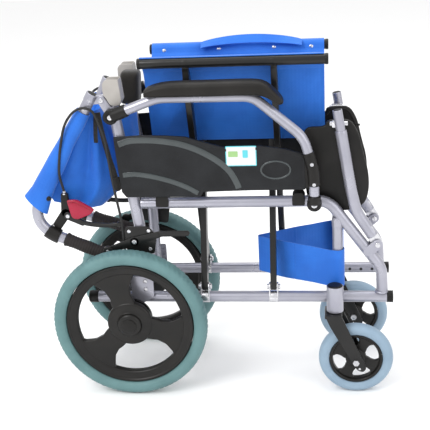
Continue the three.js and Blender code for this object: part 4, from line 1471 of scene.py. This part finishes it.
@dataclass
class SeatSling:
    """The seat: two halves that hang from the seat rails and meet over the scissor's centre pin."""

    x0: float = 51.0
    x1: float = 389.0
    wrap_r: float = 11.2
    fold_line: tuple = ((57.6, 659), (52.6, 652), (44.6, 642), (34, 609), (22.5, 572), (11.5, 537),
                        (3.4, 508), (0.0, 497))
    thickness: float = 1.4
    rivets: tuple = (76.0, 184.0, 292.0, 364.0)

    def surface(self, sign: int) -> np.ndarray:
        """One half: a wrap round the inner side of its rail, then the fall to the middle, softly creased.

        Args:
            sign: -1 for the right half, 1 for the left.

        Returns:
            Grid of points down the fall and along the chair, in plain Y.
        """
        phi = np.linspace(-0.35, 1.25, 12)
        wrap = np.stack([RAIL_W - self.wrap_r * np.sin(phi), SEAT_RAIL_Z + self.wrap_r * np.cos(phi)], axis=1)
        line = np.vstack([wrap, np.array(self.fold_line)])
        line = resample(line, np.linspace(0, lengths(line)[-1], 64))
        x = np.linspace(self.x0, self.x1, 120)
        v = np.linspace(0, 1, 64)[:, None]
        u = (x[None] - self.x0) / (self.x1 - self.x0)
        held = np.clip((v - 0.14) / 0.3, 0, 1) * np.clip((1 - v) / 0.12, 0, 1)
        crease = 2.2 * ripple(u * 1.6, v, 11 + sign) + 1.6 * np.sin(2 * pi * (3.1 * u + 0.7 * v)) * v
        w = line[:, None, 0] - held * np.abs(crease)
        hem = 0.5 * (np.exp(-((u - 0.018) / 0.006) ** 2) + np.exp(-((u - 0.982) / 0.006) ** 2))
        w = w - hem * np.clip(v * 6, 0, 1)
        z = np.broadcast_to(line[:, None, 1], w.shape)
        return np.stack([np.broadcast_to(x[None], w.shape), sign * np.maximum(w, 0.0), z], axis=-1)

    def half(self, sign: int) -> None:
        """Build one half and its rivets.

        Args:
            sign: -1 for the right half, 1 for the left.
        """
        word, brace = Side(sign).word, Brace(sign).word()
        surface = self.surface(sign)
        piece = build(f"seat_cloth_{word}", cloth(surface, self.thickness), Side.LEFT, BLUE_NYLON,
                      nodes=(f"seat_sling_{word}",), crease=60)
        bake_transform(piece)
        heads = []
        for x in self.rivets:
            head = turned([(4.4, 0.0), (4.2, 0.9), (2.6, 1.7), (0.1, 2.0)], 0, 0, 24, closed=False)
            heads.append(head.laid((x, sign * (RAIL_W - self.wrap_r - 0.6), SEAT_RAIL_Z - 2), (1, 0, 0),
                                   (0, -sign, 0), (0, 0, 1)))
        build(f"seat_rivets_{word}", joined(heads), Side.LEFT, ZINC, brace)

    def strap(self) -> None:
        """Lifting strap: a flat webbing loop that bows up over the left seat rail."""
        t = np.linspace(0, 1, 60)
        x = 150 + 196 * t
        z = 672 + 11.0 * np.sin(pi * t) ** 0.7
        across = np.linspace(-9, 9, 8)[None]
        lean = 0.5 + 0.45 * np.sin(pi * t)[:, None]
        surface = np.stack(np.broadcast_arrays(x[:, None], 54 + across * np.cos(lean),
                                               z[:, None] + across * np.sin(lean)), -1)
        piece = build("seat_lifting_strap", cloth(surface, 2.0), Side.LEFT, BLUE_NYLON, "brace_b", crease=60)

    def make(self) -> None:
        """Build both halves, the strap and the pin over which they meet."""
        for sign in (-1, 1):
            self.half(sign)
        self.strap()
        z = (BRACE_FOOT_Z + SEAT_RAIL_Z) / 2
        pin = [bar((124.8, 0, z), (308, 0, z), 3.9, 0.5), bar((124.7, 0, z), (128.4, 0, z), 7.8, 1.0),
               bar((304.4, 0, z), (308.1, 0, z), 7.8, 1.0)]
        build("scissor_pin", joined(pin), Side.LEFT, BLACK_STEEL, "brace_b", ("scissor_axle",))


@dataclass
class CalfStrap:
    """The calf strap: from a wrap round each front post to the fold in the middle, behind the front bars."""

    z: tuple = (218.0, 294.0)
    plan: tuple = ((405, 59.2), (414, 59.0), (421.5, 63.5), (423.6, 71), (421, 78.5), (412, 83.4), (398, 80),
                   (374, 68.5), (334, 47), (292, 25.5), (264, 9.5), (253.5, 2.6), (252.5, 0.0))
    thickness: float = 1.6

    def surface(self, sign: int) -> np.ndarray:
        """One half: its plan curve lifted between the strap's edges, with a stitched seam and soft waves.

        Args:
            sign: -1 for the right half, 1 for the left.

        Returns:
            Grid of points along the strap and up its height, in plain Y.
        """
        path = smooth_path([(x, w, 0) for x, w in self.plan], 110)
        path = resample(path, np.linspace(0, lengths(path)[-1], 130))
        s = np.linspace(0, 1, 130)[:, None]
        v = np.linspace(0, 1, 26)[None]
        free = np.clip((s - 0.3) / 0.2, 0, 1) * np.clip((1 - s) / 0.15, 0, 1)
        wave = 1.3 * ripple(s * 1.3, v, 5 + sign) * free
        seam = -0.9 * np.exp(-((s - 0.62) / 0.006) ** 2)
        hem = -0.35 * (np.exp(-((v - 0.07) / 0.02) ** 2) + np.exp(-((v - 0.93) / 0.02) ** 2))
        w = path[:, 1][:, None] + wave + seam + hem * free
        z = self.z[0] + (self.z[1] - self.z[0]) * v + 1.6 * np.sin(2.2 * pi * s) * (1 - v) * free
        x = np.broadcast_to(path[:, :1], w.shape)
        return np.stack([x, sign * np.maximum(w, 0), np.broadcast_to(z, w.shape)], axis=-1)

    def make(self) -> None:
        """Build both halves, each from its post to the middle fold."""
        nodes = {-1: ("right_calf_strap", "calf_strap_middle"), 1: ("left_calf_strap",)}
        for sign, a, b in ((-1, "right_frame", "calf_strap_fold"),
                           (1, "calf_strap_fold", "calf_strap_slide")):
            surface = self.surface(sign)
            word = Side(sign).word
            piece = build(f"calf_cloth_{word}", cloth(surface, self.thickness), Side.LEFT, BLUE_NYLON,
                          nodes=nodes[sign], crease=60)
            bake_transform(piece)


@dataclass
class BackUpholstery:
    """Back cloth: a sleeve on each cane, the drape between, the lower back, a black pad and the belt."""

    top: tuple = CANE_TOP
    heading: tuple = (-0.5201, -0.8541)
    thickness: float = 1.4
    fold_line: tuple = ((-47, 570), (-34, 545), (-24, 505), (-18, 460), (-19, 424), (-38, 394), (-66, 370))
    cane_line: tuple = ((-64, 574), (-84, 542), (-108, 503), (-130, 468), (-148, 436), (-154, 410),
                        (-146, 392))

    def sleeve(self, side: Side) -> None:
        """Sleeve: an ellipse carried down the cane, wider towards its open hem and offset to the free side.

        Point = axis + offset + a cos t in the cane's plane, b sin t across, with creases along the cane.

        Args:
            side: the half whose cane it hangs on.
        """
        s = np.linspace(40, 258, 80)[:, None]
        t = np.linspace(0, 2 * pi, 57)[None]
        share = (s - 40) / 218
        wide = np.interp(s, [40, 60, 120, 180, 230, 258], [13.5, 14.5, 16, 18.5, 22, 24.5])
        deep = 12.9 + 1.6 * share
        offset = np.interp(s, [40, 90, 150, 200, 258], [0.5, 1.5, 3.5, 2.5, 0.5])
        crease = ripple(share * 1.2, t / (2 * pi), 21, finest=2)
        blend_ends = np.sin(pi * np.clip(t / (2 * pi), 0, 1)) ** 0.5
        puff = 1 + 0.075 * crease * blend_ends * np.clip(share * 3, 0, 1)
        along = np.array(self.heading)
        out = np.array([along[1], -along[0]])
        a = offset + wide * np.cos(t) * puff
        x = self.top[0] + along[0] * s + out[0] * a
        z = self.top[1] + along[1] * s + out[1] * a + 7 * np.cos(t) * np.clip((share - 0.85) / 0.15, 0, 1)
        w = RAIL_W + deep * np.sin(t) * puff
        surface = np.stack([x, w, z], axis=-1)
        piece = build(f"{side.word}_cane_sleeve", cloth(surface, self.thickness).leaned(side.lean), side,
                      BLUE_NYLON, f"{side.word}_cane", crease=60)
        snap = turned([(5.2, 0), (5.0, 1.2), (3.4, 2.0), (2.6, 1.2), (0.1, 1.0)], 0, 0, 24, closed=False)
        spot = np.array(self.top) + along * 236
        snap = snap.moved(spot[0] + 17, RAIL_W + 9.2, spot[1] - 3)
        build(f"{side.word}_sleeve_snap", snap.leaned(side.lean), side, BLACK_PLASTIC, f"{side.word}_cane")

    def drape(self) -> None:
        """The loose back between the canes: each level runs from one cane forward to the fold and back out.

        At height v and place u across, the point lies |u|^1.3 of the way from the fold line to the cane
        line, at w = 58 u, with pleats that die out at the canes.
        """
        u = np.linspace(-1, 1, 141)[None]
        v = np.linspace(0, 1, 90)[:, None]
        fold = smooth_path([(x, 0, z) for x, z in self.fold_line], 90)[:, [0, 2]]
        cane = smooth_path([(x, 0, z) for x, z in self.cane_line], 90)[:, [0, 2]]
        far = np.abs(u) ** 1.5
        x = fold[:, :1] + (cane[:, :1] - fold[:, :1]) * far
        z = fold[:, 1:] + (cane[:, 1:] - fold[:, 1:]) * far
        free = np.sin(pi * np.clip(np.abs(u), 0, 1)) ** 0.8 * np.clip(v * 2.2 + 0.08, 0, 1)
        pleat = 7.5 * np.sin(2 * pi * (2.3 * np.abs(u) + 0.35 * v) + 0.7)
        pleat = pleat + 3.5 * ripple(np.abs(u) * 2.0, v * 0.8, 31)
        pocket = 7.0 * np.exp(-(((x + 36) / 17) ** 2 + ((z - 462) / 36) ** 2))
        side = np.where(u < 0, -1, 1)
        w = 57.0 * np.abs(u) ** 0.36 + (pleat + pocket) * free * 0.8
        y = side * np.clip(w, 0.0, 59.0)
        shape = cloth(np.stack([x, y, z], axis=-1), self.thickness)
        amount = (shape.points[:, 1] / 58.0 + 1) / 2
        tilted = shape.leaned(LEFT_LEAN)
        shape.points[:] += (tilted.points - shape.points) * np.clip(amount, 0, 1)[:, None]
        piece = build("back_drape", shape, Side.LEFT, BLUE_NYLON,
                      nodes=("right_upper_back", "left_upper_back"), crease=60)
        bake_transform(piece)

    def lower_back(self) -> None:
        """Cloth between the uprights: a forward fold in plan, standing from the frame to the hinge."""
        u = np.linspace(-1, 1, 81)[None]
        z = np.linspace(432, 571, 40)[:, None]
        post = 25.5 - 33 * (z - 345) / 241
        reach = np.interp(z, [432, 500, 571], [14, 26, 34])
        x = post - 6 + reach * (1 - np.abs(u) ** 1.3) + 2.0 * ripple(u * 0.8, z / 140, 41) * (1 - np.abs(u))
        surface = np.stack(np.broadcast_arrays(x, 59.2 * u, z), axis=-1).copy()
        piece = build("lower_back_cloth", cloth(surface, self.thickness), Side.LEFT, BLUE_NYLON,
                      nodes=("right_lower_back", "left_lower_back"), crease=60)
        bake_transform(piece)

    def pad(self) -> None:
        """The black pad: a crowned cushion, its faces rounder towards the middle, with piping round its edge.

        Each point is a superellipsoid's, so the sides pull in between the corners.
        """
        rows, columns = 48, 72
        t = np.linspace(-pi / 2, pi / 2, rows)[:, None]
        p = (np.arange(columns) * 2 * pi / columns)[None]

        def soft(value: np.ndarray, power: float) -> np.ndarray:
            """A signed power."""
            return np.sign(value) * np.abs(value) ** power

        x = 9 + 19.5 * soft(np.cos(t), 0.42) * soft(np.cos(p), 0.30)
        z = 600 + 33.0 * soft(np.cos(t), 0.42) * soft(np.sin(p), 0.30)
        y = 30 + 22.0 * soft(np.sin(t), 0.62)
        points = np.stack(np.broadcast_arrays(x, y, z), axis=-1)
        points[..., 0] += 0.06 * (points[..., 2] - 600)
        flat = points.reshape(-1, 3)
        cushion = Shape(flat, capped_faces(rows, columns), flat[:, [0, 2]].copy())
        piece = build("black_back_pad", cushion, Side.LEFT, BLACK_CLOTH, "left_frame", crease=70)

    def belt(self) -> None:
        """Two ends of the waist belt that hang beside the drape, one with its buckle."""
        runs = ((((-40, 572), (-37, 548), (-34, 528), (-30, 505), (-25, 478), (-19, 452), (-15, 430)), 10.0),
                (((-44, 570), (-46, 548), (-48, 528), (-49, 512)), 8.0))
        shapes = []
        for points, width in runs:
            path = smooth_path([(x, 61.2, z) for x, z in points], 50)
            across = np.linspace(-width / 2, width / 2, 7)
            slope = unit(np.gradient(path, axis=0))
            side = np.stack([slope[:, 2], np.zeros(50), -slope[:, 0]], axis=1)
            sway = 1.4 * np.sin(np.linspace(0, 5, 50))[:, None]
            surface = path[:, None] + across[None, :, None] * side[:, None]
            surface[..., 1] += sway
            shapes.append(cloth(surface, 1.6))
        build("belt_webbing", joined(shapes), Side.RIGHT, BLACK_WEBBING, "right_cane", crease=60)
        buckle = slab(rounded([(-22, 440), (-9, 444), (-5, 420), (-12, 413), (-20, 416)], 4), 59, 65, 1.6)
        build("belt_buckle", buckle, Side.RIGHT, BLACK_PLASTIC, "right_cane")

    def make(self) -> None:
        """Build the back's soft goods."""
        for side in Side:
            self.sleeve(side)
        self.drape()
        self.lower_back()
        self.pad()
        self.belt()


# ---------------------------------------------------------------- studio


@dataclass
class Studio:
    """Camera, pale floor and soft light."""

    lens_mm: float = 79.85302
    sensor_mm: float = 36.0
    azimuth: float = 0.1295
    elevation: float = 0.3560
    roll: float = 0.0553
    eye: tuple = (0.2343, -1.7911, 1.0103)
    floor_half: float = 6.0

    def camera(self) -> None:
        """A camera at the eye point, turned by the roll about back = (sin a cos e, -cos a cos e, sin e)."""
        a, e, r = self.azimuth, self.elevation, self.roll
        back = np.array([sin(a) * cos(e), -cos(a) * cos(e), sin(e)])
        right = np.array([cos(a), sin(a), 0.0])
        up = np.cross(back, right)
        right, up = cos(r) * right - sin(r) * up, sin(r) * right + cos(r) * up
        matrix = Matrix.Identity(4)
        for column, vector in enumerate((right, up, back, np.array(self.eye))):
            for row in range(3):
                matrix[row][column] = vector[row]
        data = bpy.data.cameras.new("studio_camera")
        data.sensor_width = self.sensor_mm
        data.lens = self.lens_mm
        data.clip_start, data.clip_end = 0.05, 40
        camera = bpy.data.objects.new("studio_camera", data)
        bpy.context.scene.collection.objects.link(camera)
        camera.matrix_world = matrix
        bpy.context.scene.camera = camera

    def floor(self) -> None:
        """A plain pale floor."""
        h = self.floor_half
        mesh = bpy.data.meshes.new("floor")
        mesh.from_pydata([(-h, -h, 0), (h, -h, 0), (h, h, 0), (-h, h, 0)], [], [(0, 1, 2, 3)])
        material = bpy.data.materials.new("pale_floor")
        material.use_nodes = True
        shader = material.node_tree.nodes["Principled BSDF"]
        shader.inputs["Base Color"].default_value = (0.92, 0.92, 0.92, 1)
        shader.inputs["Roughness"].default_value = 0.9
        mesh.materials.append(material)
        plane = bpy.data.objects.new("floor", mesh)
        bpy.context.scene.collection.objects.link(plane)

    def lamp(self, name: str, spot: tuple, size: float, power: float) -> None:
        """A square soft light at a spot, aimed at the chair's middle.

        Args:
            name: the light's name.
            spot: where it stands, in metres.
            size: length of its edge, in metres.
            power: its power in watts.
        """
        data = bpy.data.lights.new(name, "AREA")
        data.size, data.energy = size, power
        light = bpy.data.objects.new(name, data)
        bpy.context.scene.collection.objects.link(light)
        aim = Matrix.Translation(spot).to_translation() - Matrix.Translation((0, 0, 0.35)).to_translation()
        light.matrix_world = Matrix.Translation(spot) @ aim.to_track_quat("Z", "Y").to_matrix().to_4x4()

    def make(self) -> None:
        """Set up the studio."""
        self.camera()
        self.floor()
        self.lamp("key", (-1.6, -2.0, 2.6), 1.6, 58)
        self.lamp("fill", (2.4, -1.6, 1.5), 2.0, 18)
        self.lamp("top", (0.1, 0.6, 2.8), 2.2, 34)
        world = bpy.data.worlds.new("studio_world")
        world.use_nodes = True
        world.node_tree.nodes["Background"].inputs["Color"].default_value = (1, 1, 1, 1)
        world.node_tree.nodes["Background"].inputs["Strength"].default_value = 1.0
        bpy.context.scene.world = world
        bpy.context.scene.view_settings.view_transform = "Standard"


def main() -> None:
    """Build the studio and every sub-assembly, in order."""
    logging.basicConfig(level=logging.INFO, format="%(message)s")
    Studio().make()
    for side in Side:
        for assembly in (SideFrame, RearWheel, Caster, BackCane, Armrest, Footrest, WheelLock):
            assembly(side).make()
    for sign in (-1, 1):
        Brace(sign).make()
    for assembly in (SeatSling, CalfStrap, BackUpholstery):
        assembly().make()


if __name__ == "__main__":
    main()
